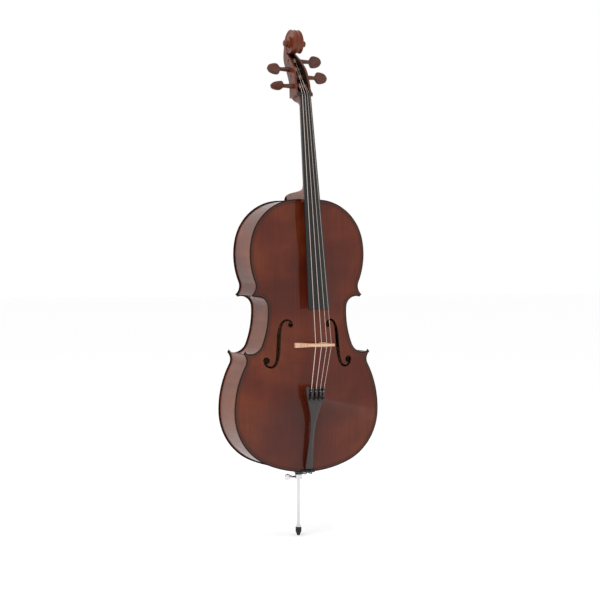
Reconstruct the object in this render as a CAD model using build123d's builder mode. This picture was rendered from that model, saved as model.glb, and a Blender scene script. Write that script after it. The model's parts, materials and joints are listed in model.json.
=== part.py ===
"""A full-size cello standing on its endpin, as an assembly of separate pieces.

Frame: millimetres, +Z up along the body, the belly faces -Y, and +X is the treble side.
The origin is where the rubber tip of the endpin meets the floor, on the endpin's axis.
"""

import os
from math import acos, atan2, cos, pi, sin, sqrt

from build123d import *

os.makedirs("parts", exist_ok=True)

# ---------------------------------------------------------------- driving dimensions
BODY_LENGTH = 755.0
BODY_BOTTOM = 185.0  # the body's bottom edge above the floor
BODY_TOP = BODY_BOTTOM + BODY_LENGTH
STOP_LENGTH = 399.0  # body's top edge to the bridge
NECK_LENGTH = 286.0  # body's top edge to the nut
BRIDGE_Z = BODY_TOP - STOP_LENGTH
NUT_Z = BODY_TOP + NECK_LENGTH
NUT_Y = -52.0  # the fingerboard's crown at the nut
BRIDGE_CROWN_Y = -174.0  # the middle strings over the bridge

RIB_FACE = 59.0  # the ribs run from y = -RIB_FACE to +RIB_FACE
EDGE_THICKNESS = 4.5  # a plate at its edge
EDGE_FACE = RIB_FACE + EDGE_THICKNESS
OVERHANG = 3.6  # plate edge past the ribs
RIB_THICKNESS = 1.6
RIB_INSIDE = OVERHANG + RIB_THICKNESS
LINING_THICKNESS = 5.0
LINING_HEIGHT = 20.0
TOP_ARCH = 20.5  # the belly's rise above its edge
BACK_ARCH = 21.5
TOP_THICKNESS = 5.0
BACK_THICKNESS = 6.0
PURFLING_INSET = 5.0
PURFLING_WIDTH = 1.3
PURFLING_DEPTH = 2.0
THROUGH = 60.0  # deeper than any plate

FIT = 0.05  # radial clearance of a turning or sliding fit


def finish(part, name):
    part.label = name
    export_step(part, f"parts/{name}.step")


# ---------------------------------------------------------------- outline of the plates
# Tangent arcs as (radius, angle). A positive radius has its centre inside the body.
LOWER_BOUT = [(311.0, 23.0), (156.0, 65.3), (266.0, 30.0), (-26.6, 76.7)]
UPPER_BOUT = [(624.0, 3.8), (138.5, 74.5), (200.5, 34.3), (-29.7, 75.5)]
C_BOUT_UP = [(-131.5, 5.4), (-30.3, 103.9)]
C_BOUT_DOWN = [(-254.7, 21.1), (-39.2, 69.7), (-13.4, 69.5)]
WAIST_HALF_WIDTH = 118.3
WAIST_Z = BODY_BOTTOM + 446.0


def tangent_arcs(start, tangent, arcs, inset, turn):
    """Draws a chain of tangent arcs moved inwards by inset. turn is +1 with the body on the left."""
    for radius, angle in arcs:
        size = radius - inset if radius > 0 else -radius + inset
        bend = turn * (angle if radius > 0 else -angle)
        arc = JernArc(start=start, tangent=tangent, radius=size, arc_size=bend)
        start, tangent = arc @ 1, arc % 1
    return start


def lower_bout(inset):
    return tangent_arcs((0, BODY_BOTTOM + inset), (1, 0), LOWER_BOUT, inset, 1)


def upper_bout(inset):
    return tangent_arcs((0, BODY_TOP - inset), (1, 0), UPPER_BOUT, inset, -1)


def c_bout_up(inset):
    return tangent_arcs((WAIST_HALF_WIDTH - inset, WAIST_Z), (0, 1), C_BOUT_UP, inset, 1)


def c_bout_down(inset):
    return tangent_arcs((WAIST_HALF_WIDTH - inset, WAIST_Z), (0, -1), C_BOUT_DOWN, inset, -1)


def strip(bout, outer, inner):
    """The right half's strip along one bout, between two insets."""
    starts = {
        lower_bout: lambda inset: (0, BODY_BOTTOM + inset),
        upper_bout: lambda inset: (0, BODY_TOP - inset),
        c_bout_up: lambda inset: (WAIST_HALF_WIDTH - inset, WAIST_Z),
        c_bout_down: lambda inset: (WAIST_HALF_WIDTH - inset, WAIST_Z),
    }
    with BuildSketch() as area:
        with BuildLine():
            outer_end, inner_end = bout(outer), bout(inner)
            Line(starts[bout](outer), starts[bout](inner))
            Line(outer_end, inner_end)
        make_face()
    return area.sketch


CORNERS = []  # each as (point before, point after), going round the right half clockwise from the top

with BuildSketch() as outline:
    with BuildLine():
        lower_tip = lower_bout(0)
        upper_tip = upper_bout(0)
        c_upper_tip = c_bout_up(0)
        c_lower_tip = c_bout_down(0)
        Line(lower_tip, c_lower_tip)
        Line(c_upper_tip, upper_tip)
        Line((0, BODY_BOTTOM), (0, BODY_TOP))
    make_face()
    mirror(about=Plane.YZ)
CORNERS += [(upper_tip, c_upper_tip), (c_lower_tip, lower_tip)]
BOUTS = (lower_bout, upper_bout, c_bout_up, c_bout_down)


def corner_end(before, after, inset):
    """The strip along a corner's end face."""
    along = (after - before).normalized()
    out = along.rotate(Axis.Z, 90)
    with BuildSketch() as area:
        with BuildLine():
            Polyline(
                before - along * 9 + out * 6,
                after + along * 9 + out * 6,
                after + along * 9 - out * inset,
                before - along * 9 - out * inset,
                close=True,
            )
        make_face()
    return area.sketch


def inside(inset):
    """The plate's face moved inwards by inset all round."""
    with BuildSketch() as area:
        add(outline.sketch)
        for bout in BOUTS:
            edge = strip(bout, -1, inset)
            add(edge, mode=Mode.SUBTRACT)
            add(mirror(edge, about=Plane.YZ, mode=Mode.PRIVATE), mode=Mode.SUBTRACT)
        for before, after in CORNERS:
            edge = corner_end(before, after, inset)
            add(edge, mode=Mode.SUBTRACT)
            add(mirror(edge, about=Plane.YZ, mode=Mode.PRIVATE), mode=Mode.SUBTRACT)
    return area.sketch


rib_outside = inside(OVERHANG)
rib_inside = inside(RIB_INSIDE)
lining_inside = inside(RIB_INSIDE + LINING_THICKNESS)

# ---------------------------------------------------------------- arching of the plates
FLAT_MARGIN = 8.0  # flat border at the ends before the arch rises
LOWER_ARCH_HALF_WIDTH = 208.0
WAIST_ARCH_HALF_WIDTH = 110.0
UPPER_ARCH_HALF_WIDTH = 164.0
NARROWING = (190.0, 400.0)  # heights above the body's bottom between which the arch narrows
WIDENING = (430.0, 610.0)  # and widens again
END_RISE = 170.0  # length over which the long arch rises from each end
DOME_SHARE = 0.3  # how much the long arch falls away from its middle


def smooth_step(t):
    t = min(max(t, 0.0), 1.0)
    return t * t * (3 - 2 * t)


def arch_half_width(height):
    narrowing = smooth_step((height - NARROWING[0]) / (NARROWING[1] - NARROWING[0]))
    widening = smooth_step((height - WIDENING[0]) / (WIDENING[1] - WIDENING[0]))
    lower = LOWER_ARCH_HALF_WIDTH - (LOWER_ARCH_HALF_WIDTH - WAIST_ARCH_HALF_WIDTH) * narrowing
    return lower + (UPPER_ARCH_HALF_WIDTH - WAIST_ARCH_HALF_WIDTH) * widening


def arch_share(x, z):
    """The arch's height at a point, from 0 at the border to 1 at the crown."""
    half_length = BODY_LENGTH / 2
    along = abs(z - BODY_BOTTOM - half_length) / half_length
    rise = smooth_step(((1 - along) * half_length - FLAT_MARGIN) / END_RISE)
    across = min(abs(x) / arch_half_width(z - BODY_BOTTOM), 1.0)
    return (1 - DOME_SHARE * along**2) * rise * (1 + cos(pi * across)) / 2


GRID_HALF_WIDTH = 230.0
GRID_MARGIN = 25.0
GRID_COLUMNS = 37
GRID_ROWS = 49


def arch_surface(side, border, rise):
    """A sheet at y = side * (border + rise * arch_share). side is -1 in front and +1 behind."""
    grid = []
    for i in range(GRID_COLUMNS):
        x = GRID_HALF_WIDTH * (2 * i / (GRID_COLUMNS - 1) - 1)
        column = []
        for j in range(GRID_ROWS):
            z = BODY_BOTTOM - GRID_MARGIN + (BODY_LENGTH + 2 * GRID_MARGIN) * j / (GRID_ROWS - 1)
            column.append(Vector(x, side * (border + rise * arch_share(x, z)), z))
        grid.append(column)
    return Face.make_surface_from_array_of_points(grid, smoothing=None, min_deg=3, max_deg=5)


INNER_DROP = 2.0  # the hollow's surface starts this far inside the rib face
top_outer = arch_surface(-1, EDGE_FACE, TOP_ARCH)
top_inner = arch_surface(-1, RIB_FACE - INNER_DROP, TOP_ARCH + EDGE_THICKNESS + INNER_DROP - TOP_THICKNESS)
back_outer = arch_surface(1, EDGE_FACE, BACK_ARCH)
back_inner = arch_surface(1, RIB_FACE - INNER_DROP, BACK_ARCH + EDGE_THICKNESS + INNER_DROP - BACK_THICKNESS)

front_of_ribs = Plane.XZ.offset(RIB_FACE)
back_of_ribs = Plane.XZ.offset(-RIB_FACE)

# ---------------------------------------------------------------- planes of the neck and the tailpiece
BOARD_LENGTH = 596.0
BOARD_FALL = 97.1  # the crown's way forwards from the nut to the board's lower end
board_tilt = atan2(BOARD_FALL, sqrt(BOARD_LENGTH**2 - BOARD_FALL**2))
# In neck_plane z runs up the neck and y runs backwards through it, from the crown at the nut.
neck_plane = Plane(origin=(0, NUT_Y, NUT_Z), x_dir=(1, 0, 0), z_dir=(0, sin(board_tilt), cos(board_tilt)))
neck_side = Plane(origin=neck_plane.origin, x_dir=neck_plane.y_dir, z_dir=(1, 0, 0))

TAIL_LENGTH = 236.0
TAIL_FOOT_Y, TAIL_FOOT_Z = -76.0, 194.0
TAIL_HEAD_Y = -129.0
tail_tilt = atan2(TAIL_HEAD_Y - TAIL_FOOT_Y, sqrt(TAIL_LENGTH**2 - (TAIL_HEAD_Y - TAIL_FOOT_Y) ** 2))
# In tail_plane z runs up the tailpiece and y runs towards the belly, from the crown at its foot.
tail_plane = Plane(
    origin=(0, TAIL_FOOT_Y, TAIL_FOOT_Z), x_dir=(1, 0, 0), z_dir=(0, sin(tail_tilt), cos(tail_tilt))
)
tail_side = Plane(origin=tail_plane.origin, x_dir=tail_plane.y_dir, z_dir=(1, 0, 0))


def on_neck(x, y, z):
    return neck_plane.from_local_coords(Vector(x, y, z))


def on_tail(x, y, z):
    return tail_plane.from_local_coords(Vector(x, y, z))


def sag(radius, x):
    """How far an arc of this radius has fallen at x from its crown."""
    return radius - sqrt(radius**2 - x**2)


BOARD_RADIUS = 65.0
BOARD_WIDTH_NUT = 32.0
BOARD_WIDTH_END = 62.0
BOARD_UNDER_NUT = 9.0  # crown to the glue face, at the nut
BOARD_UNDER_END = 14.0  # and at the lower end


def board_under(z):
    return BOARD_UNDER_NUT + (BOARD_UNDER_END - BOARD_UNDER_NUT) * -z / BOARD_LENGTH


glue_start = on_neck(0, board_under(0), 0)
glue_end = on_neck(0, board_under(-BOARD_LENGTH), -BOARD_LENGTH)
# Its normal points forwards, out of the neck and into the board.
glue_plane = Plane(
    origin=glue_start, x_dir=(1, 0, 0), z_dir=(0, (glue_end - glue_start).Z, -(glue_end - glue_start).Y)
)

# ---------------------------------------------------------------- strings and pegs, as numbers
STRING_NAMES = ("c", "g", "d", "a")  # from the bass side, -X, to the treble side
STRING_RADIUS = (0.85, 0.7, 0.55, 0.45)
NUT_SPACING = 7.4
BRIDGE_SPACING = 15.5
TAIL_SPACING = 12.4
BRIDGE_RADIUS = 60.0
STRING_RISE = 1.4  # string centres above the board's crown arc, at the nut
NUT_BEND_Z = 3.5  # where the strings turn over the nut, along the neck

# As (y, z, side the head stands on).
PEG_PLACES = {"c": (-13.0, 1254.0, -1), "a": (8.0, 1282.0, 1), "g": (21.0, 1304.0, -1), "d": (39.0, 1330.0, 1)}
PEG_RADIUS = 6.75  # in the middle of the pegbox
PEG_TAPER = 0.02  # radius per length, a taper of 1 in 25 on the diameter
WINDING_LENGTH = 6.0
WINDING_PLACE = {"c": -5.0, "g": -2.0, "d": 2.0, "a": 5.0}
STRING_GAP = 0.3  # the string ends this far from its winding

HOOK_Z = 229.0  # the tuner levers' hooks, along the tailpiece
HOOK_RISE = 6.0  # string centres above the tailpiece's crown arc at the hooks
HOOK_GAP = 0.5
TAIL_CROWN_RADIUS = 53.0


def string_places(name):
    """Where a string's centre line bends or ends, from its hook to its peg."""
    i = STRING_NAMES.index(name)
    step = i - 1.5
    radius = STRING_RADIUS[i]
    x = step * TAIL_SPACING
    anchor = on_tail(x, sag(TAIL_CROWN_RADIUS, x) - HOOK_RISE, HOOK_Z + 2.5 + HOOK_GAP)
    x = step * BRIDGE_SPACING
    over_bridge = Vector(x, BRIDGE_CROWN_Y + sag(BRIDGE_RADIUS, x), BRIDGE_Z)
    x = step * NUT_SPACING
    over_nut = on_neck(x, sag(BOARD_RADIUS, x) - STRING_RISE, NUT_BEND_Z)
    peg_y, peg_z, side = PEG_PLACES[name]
    reach = winding_radius(name) + radius + STRING_GAP
    way_y, way_z = over_nut.Y - peg_y, over_nut.Z - peg_z
    angle = atan2(way_z, way_y) - acos(reach / sqrt(way_y**2 + way_z**2))
    at_peg = Vector(WINDING_PLACE[name], peg_y + reach * cos(angle), peg_z + reach * sin(angle))
    return [anchor, over_bridge, over_nut, at_peg]


def shank_radius(name, x):
    side = PEG_PLACES[name][2]
    return PEG_RADIUS + PEG_TAPER * side * x


def winding_radius(name):
    return shank_radius(name, WINDING_PLACE[name]) + 2 * STRING_RADIUS[STRING_NAMES.index(name)]


# ---------------------------------------------------------------- belly
F_EYES = (((56.0, 408.0), 7.0), ((123.5, 311.0), 9.5))
# The slot between the eyes, as (x, height above the body's bottom, half width).
F_SLOT = [
    (52.0, 414.0, 2.2),
    (59.0, 420.0, 2.4),
    (67.5, 421.3, 2.7),
    (76.5, 416.0, 3.3),
    (83.5, 402.0, 4.4),
    (87.0, 381.0, 5.5),
    (88.7, 357.0, 5.8),
    (90.3, 334.0, 5.6),
    (94.0, 312.0, 4.8),
    (100.5, 298.0, 3.7),
    (110.5, 292.3, 3.0),
    (121.5, 295.5, 2.9),
    (129.5, 304.0, 3.2),
]


def f_hole():
    """The treble side's f-hole, seen from the front."""
    left, right = [], []
    for i, (x, height, half_width) in enumerate(F_SLOT):
        before, after = F_SLOT[max(i - 1, 0)], F_SLOT[min(i + 1, len(F_SLOT) - 1)]
        along = Vector(after[0] - before[0], after[1] - before[1]).normalized()
        across = along.rotate(Axis.Z, 90) * half_width
        middle = Vector(x, BODY_BOTTOM + height)
        left.append(middle + across)
        right.append(middle - across)
    with BuildSketch() as hole:
        with BuildLine():
            Spline(*left)
            Spline(*right)
            Line(left[0], right[0])
            Line(left[-1], right[-1])
        make_face()
        for (x, height), radius in F_EYES:
            with Locations((x, BODY_BOTTOM + height)):
                Circle(radius)
    return hole.sketch


HEEL_FOOT_Z = BODY_TOP - 13.0
HEEL_EDGE = [(13.0, RIB_FACE), (14.6, 18.0), (17.8, -28.0), (20.2, -56.0), (20.6, -100.0)]  # half width and y
with BuildSketch() as heel_footprint:
    with BuildLine():
        Polyline(*HEEL_EDGE, *[(-x, y) for x, y in reversed(HEEL_EDGE)], close=True)
    make_face()

SADDLE_HALF_WIDTH = 19.0
SADDLE_TOP_Z = BODY_BOTTOM + 8.0

with BuildSketch() as purfling_line:
    add(inside(PURFLING_INSET))
    add(inside(PURFLING_INSET + PURFLING_WIDTH), mode=Mode.SUBTRACT)
PURFLING_FLOOR = EDGE_FACE - PURFLING_DEPTH
PURFLING_RECESS = 0.1  # the strip lies this far under the plate's face

with BuildPart() as top_purfling:
    with BuildSketch(Plane.XZ.offset(PURFLING_FLOOR)):
        add(purfling_line.sketch)
    extrude(amount=PURFLING_DEPTH - PURFLING_RECESS)
    with BuildSketch(Plane.XY.offset(HEEL_FOOT_Z)):
        add(heel_footprint.sketch)
    extrude(amount=60, mode=Mode.SUBTRACT)
    with BuildSketch(front_of_ribs):
        with Locations((0, SADDLE_TOP_Z - 10)):
            Rectangle(2 * SADDLE_HALF_WIDTH, 20)
    extrude(amount=THROUGH, mode=Mode.SUBTRACT)
finish(top_purfling.part, "top_purfling")

with BuildPart() as top_plate:
    with BuildSketch(front_of_ribs):
        add(outline.sketch)
        hole = f_hole()
        add(hole, mode=Mode.SUBTRACT)
        add(mirror(hole, about=Plane.YZ, mode=Mode.PRIVATE), mode=Mode.SUBTRACT)
        with Locations((0, SADDLE_TOP_Z - 10)):
            Rectangle(2 * SADDLE_HALF_WIDTH, 20, mode=Mode.SUBTRACT)
    extrude(amount=THROUGH)
    extrude(to_extrude=top_outer, amount=100, dir=(0, 1, 0), mode=Mode.INTERSECT)
    extrude(to_extrude=top_inner, amount=100, dir=(0, 1, 0), mode=Mode.SUBTRACT)
    with BuildSketch(Plane.XY.offset(HEEL_FOOT_Z)):
        add(heel_footprint.sketch)
    extrude(amount=60, mode=Mode.SUBTRACT)
    with BuildSketch(Plane.XZ.offset(PURFLING_FLOOR)):
        add(purfling_line.sketch)
    extrude(amount=20, mode=Mode.SUBTRACT)
finish(top_plate.part, "top_plate")

# ---------------------------------------------------------------- back
BUTTON_RADIUS = 17.0

with BuildPart() as back_purfling:
    with BuildSketch(Plane.XZ.offset(-PURFLING_FLOOR)):
        add(purfling_line.sketch)
    extrude(amount=PURFLING_RECESS - PURFLING_DEPTH)
finish(back_purfling.part, "back_purfling")

with BuildPart() as back_plate:
    with BuildSketch(back_of_ribs):
        add(outline.sketch)
        with Locations((0, BODY_TOP + 1)):
            Circle(BUTTON_RADIUS)
    extrude(amount=-THROUGH)
    extrude(to_extrude=back_outer, amount=100, dir=(0, -1, 0), mode=Mode.INTERSECT)
    extrude(to_extrude=back_inner, amount=100, dir=(0, -1, 0), mode=Mode.SUBTRACT)
    with BuildSketch(Plane.XZ.offset(-PURFLING_FLOOR)):
        add(purfling_line.sketch)
    extrude(amount=-20, mode=Mode.SUBTRACT)
finish(back_plate.part, "back_plate")

# ---------------------------------------------------------------- ribs, blocks and linings
SOCKET_BORE_HALF = 12.5  # the endpin socket's plug, where it enters the body
SOCKET_BORE_END = 11.0
SOCKET_PLUG_TOP = BODY_BOTTOM + 38.0
ROD_PASSAGE_RADIUS = 5.5  # where the endpin's rod goes on through the bottom block

with BuildPart() as socket_hole:
    with BuildSketch(Plane.XZ):
        with BuildLine():
            Polyline(
                (0, BODY_BOTTOM),
                (SOCKET_BORE_HALF, BODY_BOTTOM),
                (SOCKET_BORE_END, SOCKET_PLUG_TOP),
                (0, SOCKET_PLUG_TOP),
                close=True,
            )
        make_face()
    revolve(axis=Axis.Z)


def rib_face(name):
    """The flat shape of a rib, on the treble side."""
    with BuildSketch() as face:
        add(rib_outside)
        add(rib_inside, mode=Mode.SUBTRACT)
        if name == "c":
            for bout in (lower_bout, upper_bout):
                add(strip(bout, -1, RIB_INSIDE), mode=Mode.SUBTRACT)
            with Locations((-150, BODY_BOTTOM + BODY_LENGTH / 2)):
                Rectangle(300, 1000, mode=Mode.SUBTRACT)
        else:
            add(strip(lower_bout if name == "lower" else upper_bout, -1, RIB_INSIDE), mode=Mode.INTERSECT)
    return face.sketch


for bout_name in ("lower", "c", "upper"):
    flat = rib_face(bout_name)
    for side_name in ("treble", "bass"):
        with BuildPart() as rib:
            with BuildSketch(front_of_ribs):
                add(flat if side_name == "treble" else mirror(flat, about=Plane.YZ, mode=Mode.PRIVATE))
            extrude(amount=-2 * RIB_FACE)
            if bout_name == "lower":
                add(socket_hole.part, mode=Mode.SUBTRACT)
            if bout_name == "upper":
                with BuildSketch(Plane.XY.offset(HEEL_FOOT_Z)):
                    add(heel_footprint.sketch)
                extrude(amount=60, mode=Mode.SUBTRACT)
        finish(rib.part, f"rib_{bout_name}_{side_name}")

TOP_BLOCK_SIZE = (130.0, 36.0)
BOTTOM_BLOCK_SIZE = (120.0, 34.0)
LOWER_CORNER_BLOCK = [(210, 300), (205, 366), (158, 366), (140, 346), (168, 296)]
UPPER_CORNER_BLOCK = [(190, 462), (180, 528), (150, 530), (126, 478), (140, 455)]


def corner_block(points, side):
    with BuildSketch() as face:
        with BuildLine():
            Polyline(*[(side * x, BODY_BOTTOM + height) for x, height in points], close=True)
        make_face()
        add(rib_inside, mode=Mode.INTERSECT)
    return face.sketch


with BuildSketch() as top_block_face:
    with Locations((0, BODY_TOP - RIB_INSIDE - TOP_BLOCK_SIZE[1] / 2)):
        Rectangle(TOP_BLOCK_SIZE[0], TOP_BLOCK_SIZE[1] + 12)
    add(rib_inside, mode=Mode.INTERSECT)
with BuildSketch() as bottom_block_face:
    with Locations((0, BODY_BOTTOM + RIB_INSIDE + BOTTOM_BLOCK_SIZE[1] / 2)):
        Rectangle(BOTTOM_BLOCK_SIZE[0], BOTTOM_BLOCK_SIZE[1] + 12)
    add(rib_inside, mode=Mode.INTERSECT)

with BuildPart() as top_block:
    with BuildSketch(front_of_ribs):
        add(top_block_face.sketch)
    extrude(amount=-2 * RIB_FACE)
    with BuildSketch(Plane.XY.offset(HEEL_FOOT_Z)):
        add(heel_footprint.sketch)
    extrude(amount=60, mode=Mode.SUBTRACT)
finish(top_block.part, "top_block")

with BuildPart() as bottom_block:
    with BuildSketch(front_of_ribs):
        add(bottom_block_face.sketch)
    extrude(amount=-2 * RIB_FACE)
    add(socket_hole.part, mode=Mode.SUBTRACT)
    with BuildSketch(Plane.XY.offset(BODY_BOTTOM)):
        Circle(ROD_PASSAGE_RADIUS)
    extrude(amount=80, mode=Mode.SUBTRACT)
finish(bottom_block.part, "bottom_block")

block_faces = [top_block_face.sketch, bottom_block_face.sketch]
for corner_name, points in (("lower", LOWER_CORNER_BLOCK), ("upper", UPPER_CORNER_BLOCK)):
    for side_name, side in (("treble", 1), ("bass", -1)):
        block_faces.append(corner_block(points, side))
        with BuildPart() as block:
            with BuildSketch(front_of_ribs):
                add(block_faces[-1])
            extrude(amount=-2 * RIB_FACE)
        finish(block.part, f"corner_block_{corner_name}_{side_name}")

with BuildSketch() as lining_face:
    add(rib_inside)
    add(lining_inside, mode=Mode.SUBTRACT)
    for face in block_faces:
        add(face, mode=Mode.SUBTRACT)
for lining_name, plane, amount in (("front", front_of_ribs, -LINING_HEIGHT), ("back", back_of_ribs, LINING_HEIGHT)):
    with BuildPart() as linings:
        with BuildSketch(plane):
            add(lining_face.sketch)
        extrude(amount=amount)
    finish(linings.part, f"{lining_name}_linings")

BASS_BAR_X = -31.0
BASS_BAR_WIDTH = 10.0
with BuildPart() as bass_bar:
    with BuildSketch(Plane.YZ.offset(BASS_BAR_X)):
        with BuildLine():
            back_edge = Spline((-62, 300), (-57, 420), (-53, BRIDGE_Z), (-57, 680), (-62, 800))
            Polyline(back_edge @ 1, (-95, 800), (-95, 300), back_edge @ 0)
        make_face()
    extrude(amount=BASS_BAR_WIDTH / 2, both=True)
    extrude(to_extrude=top_inner, amount=100, dir=(0, 1, 0), mode=Mode.INTERSECT)
finish(bass_bar.part, "bass_bar")

SOUND_POST_RADIUS = 5.5
with BuildPart() as sound_post:
    with BuildSketch(Plane.XZ.offset(100)):
        with Locations((36, BRIDGE_Z - 20)):
            Circle(SOUND_POST_RADIUS)
    extrude(amount=-200)
    extrude(to_extrude=top_inner, amount=200, dir=(0, 1, 0), mode=Mode.INTERSECT)
    extrude(to_extrude=back_inner, amount=200, dir=(0, -1, 0), mode=Mode.INTERSECT)
finish(sound_post.part, "sound_post")

# ---------------------------------------------------------------- neck, pegbox and scroll
PEGBOX_WALL = 6.0
SCROLL_Y, SCROLL_Z = 30.0, 1378.0
SCROLL_RADII = (45.5, 41.5, 39.0, 35.8, 33.0, 30.4, 27.5)  # at eighths of a turn, from the back over the top
# The inner turns, as circles (y, z, radius, half width) that stand out further towards the eye.
SCROLL_STEPS = (
    (25.5, 1378.5, 26.5, 17.5),
    (31.0, 1379.0, 21.0, 22.5),
    (30.0, 1378.0, 15.0, 27.5),
    (30.0, 1378.0, 9.0, 32.5),
)
THROAT = (54.0, 1353.0)
NUT_LENGTH = 10.0
CHIN_HALF_WIDTH = 16.0
# Half widths of the pegbox and the scroll's outer turn, as (height, half width).
HEAD_WIDTHS = [
    (1200.0, 23.6),
    (1240.0, 23.6),
    (1261.0, 23.1),
    (1277.0, 22.0),
    (1292.0, 20.6),
    (1307.0, 18.9),
    (1323.0, 17.3),
    (1333.0, 16.5),
    (1352.0, 14.0),
    (1370.0, 12.6),
    (1440.0, 12.6),
]
# Front and back of the pegbox seen from the side, as (y, z), from the nut up.
PEGBOX_FRONT = [
    (-31.5, 1246.0),
    (-28.6, 1258.4),
    (-23.5, 1274.0),
    (-17.7, 1290.0),
    (-8.7, 1305.8),
    (6.7, 1320.0),
    (17.7, 1330.5),
    (35.0, 1342.0),
]
PEGBOX_BACK = [
    (10.0, 1222.0),
    (10.5, 1240.0),
    (11.5, 1251.0),
    (14.5, 1261.5),
    (24.3, 1278.0),
    (37.6, 1295.0),
    (53.2, 1311.7),
    (64.6, 1325.5),
    (70.4, 1336.0),
    (75.0, 1346.0),
    (76.0, 1359.5),
]
CHIN = [(10.0, 1222.0), (6.0, 1214.5), (-6.0, 1208.5), (-18.0, 1205.0), (-27.0, 1196.0)]


def head_half_width(height):
    for (low, low_width), (high, high_width) in zip(HEAD_WIDTHS, HEAD_WIDTHS[1:]):
        if height <= high:
            return low_width + (high_width - low_width) * (height - low) / (high - low)
    return high_width


def spiral_point(step):
    """A point of the scroll's outer turn. Step 0 is at the back, 2 at the top and 4 in front."""
    radius, angle = SCROLL_RADII[step], pi / 4 * step
    return (SCROLL_Y + radius * cos(angle), SCROLL_Z + radius * sin(angle))


def head_side():
    """The side view of chin, pegbox and scroll, with x for Y and y for Z."""
    nut_back = on_neck(0, BOARD_UNDER_NUT, NUT_LENGTH)
    chin = on_neck(0, board_under(-34), -34)
    with BuildSketch() as side:
        with BuildLine():
            Spline((nut_back.Y, nut_back.Z), *PEGBOX_FRONT, THROAT)
            Spline(THROAT, (49, 1356.5), (40, 1352.8), spiral_point(6), tangents=[(-0.2, 1), (-1, 0)])
            Spline(*[spiral_point(step) for step in (6, 5, 4, 3, 2, 1, 0)], *reversed(PEGBOX_BACK))
            Spline(*CHIN)
            Line(CHIN[-1], (chin.Y, chin.Z))
            Line((chin.Y, chin.Z), (glue_start.Y, glue_start.Z))
            Line((glue_start.Y, glue_start.Z), (nut_back.Y, nut_back.Z))
        make_face()
    return side.sketch


def head_front(inset):
    """The front view of the pegbox and the scroll's outer turn."""
    edge = [(half_width - inset, height) for height, half_width in HEAD_WIDTHS]
    with BuildSketch() as front:
        with BuildLine():
            Polyline(*edge, *[(-x, z) for x, z in reversed(edge)], close=True)
        make_face()
    return front.sketch


def peg_bore(name, clearance):
    """A cone round a peg's shank, right through the pegbox."""
    y, z, side = PEG_PLACES[name]
    with BuildPart() as bore:
        with BuildSketch(Plane.XZ.offset(-y)):
            with BuildLine():
                reach = 40.0
                low = shank_radius(name, -reach) + clearance
                high = shank_radius(name, reach) + clearance
                Polyline((-reach, z), (-reach, z + low), (reach, z + high), (reach, z), close=True)
            make_face()
        revolve(axis=Axis((0, y, z), (1, 0, 0)))
    return bore.part


with BuildPart() as mortise:
    with BuildSketch(Plane.YZ):
        with BuildLine():
            back_wall = Spline(
                (66, 1336), (56, 1324), (45, 1311.5), (29.5, 1294), (16.5, 1278), (7, 1262), (3.5, 1250), (4, 1232)
            )
            Polyline(back_wall @ 1, (-41.5, 1235.6), (-62, 1233), (-62, 1262), (-40, 1292), (-12, 1318))
            Polyline((-12, 1318), (14, 1338), (36, 1347), (46, 1348.5))
            Spline((46, 1348.5), (58, 1346), back_wall @ 0)
        make_face()
    extrude(amount=30, both=True)
    with BuildSketch(Plane.XZ):
        add(head_front(PEGBOX_WALL))
    extrude(amount=150, both=True, mode=Mode.INTERSECT)

# The heel's underside seen from the side, as (y, z), from the button to the handle.
HEEL_BACK = [
    (RIB_FACE, 951.0),
    (53.0, 955.6),
    (40.0, 958.8),
    (18.0, 960.6),
    (-6.0, 962.2),
    (-28.0, 964.0),
    (-45.0, 967.2),
    (-54.5, 974.0),
    (-56.5, 984.5),
]

with BuildPart() as heel:
    with BuildSketch(Plane.YZ):
        with BuildLine():
            curve = Spline(*HEEL_BACK)
            Polyline(curve @ 1, (-99, 984.5), (-99, HEEL_FOOT_Z), (RIB_FACE, HEEL_FOOT_Z), curve @ 0)
        make_face()
    extrude(amount=30, both=True)
    with BuildSketch(Plane.XY.offset(HEEL_FOOT_Z)):
        add(heel_footprint.sketch)
    extrude(amount=120, mode=Mode.INTERSECT)

HANDLE_SECTIONS = ((-20.0, 31.0, 21.0), (-296.0, 43.5, 24.0))  # along the neck: place, width, depth
with BuildPart() as neck:
    for place, width, depth in HANDLE_SECTIONS:
        with BuildSketch(neck_plane.offset(place)):
            with Locations((0, board_under(place))):
                Ellipse(width / 2, depth)
    loft(ruled=True)
    add(heel.part)
    split(bisect_by=glue_plane, keep=Keep.BOTTOM)

# The pegbox's shoulders face down the neck, from the nut to the back.
shoulder_plane = Plane(origin=(0, -42.5, 1228.0), x_dir=(1, 0, 0), z_dir=(0, 6.0, 52.5))

with BuildPart() as pegbox:
    with BuildSketch(Plane.YZ):
        add(head_side())
    extrude(amount=30, both=True)
    with BuildSketch(Plane.XZ):
        add(head_front(0))
    extrude(amount=150, both=True, mode=Mode.INTERSECT)
    split(bisect_by=shoulder_plane, keep=Keep.TOP)

with BuildPart() as head:
    with BuildSketch(Plane.YZ):
        add(head_side())
    extrude(amount=CHIN_HALF_WIDTH, both=True)
    with BuildSketch(Plane.XZ):
        with Locations((0, 1190)):
            Rectangle(80, 100)
    extrude(amount=150, both=True, mode=Mode.INTERSECT)
    add(pegbox.part)
    add(mortise.part, mode=Mode.SUBTRACT)
    for y, z, radius, half_width in SCROLL_STEPS:
        with BuildSketch(Plane.YZ):
            with Locations((y, z)):
                Circle(radius)
        extrude(amount=half_width, both=True)
    for name in STRING_NAMES:
        add(peg_bore(name, FIT), mode=Mode.SUBTRACT)
    add(neck.part)
finish(head.part, "neck_and_scroll")

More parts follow.
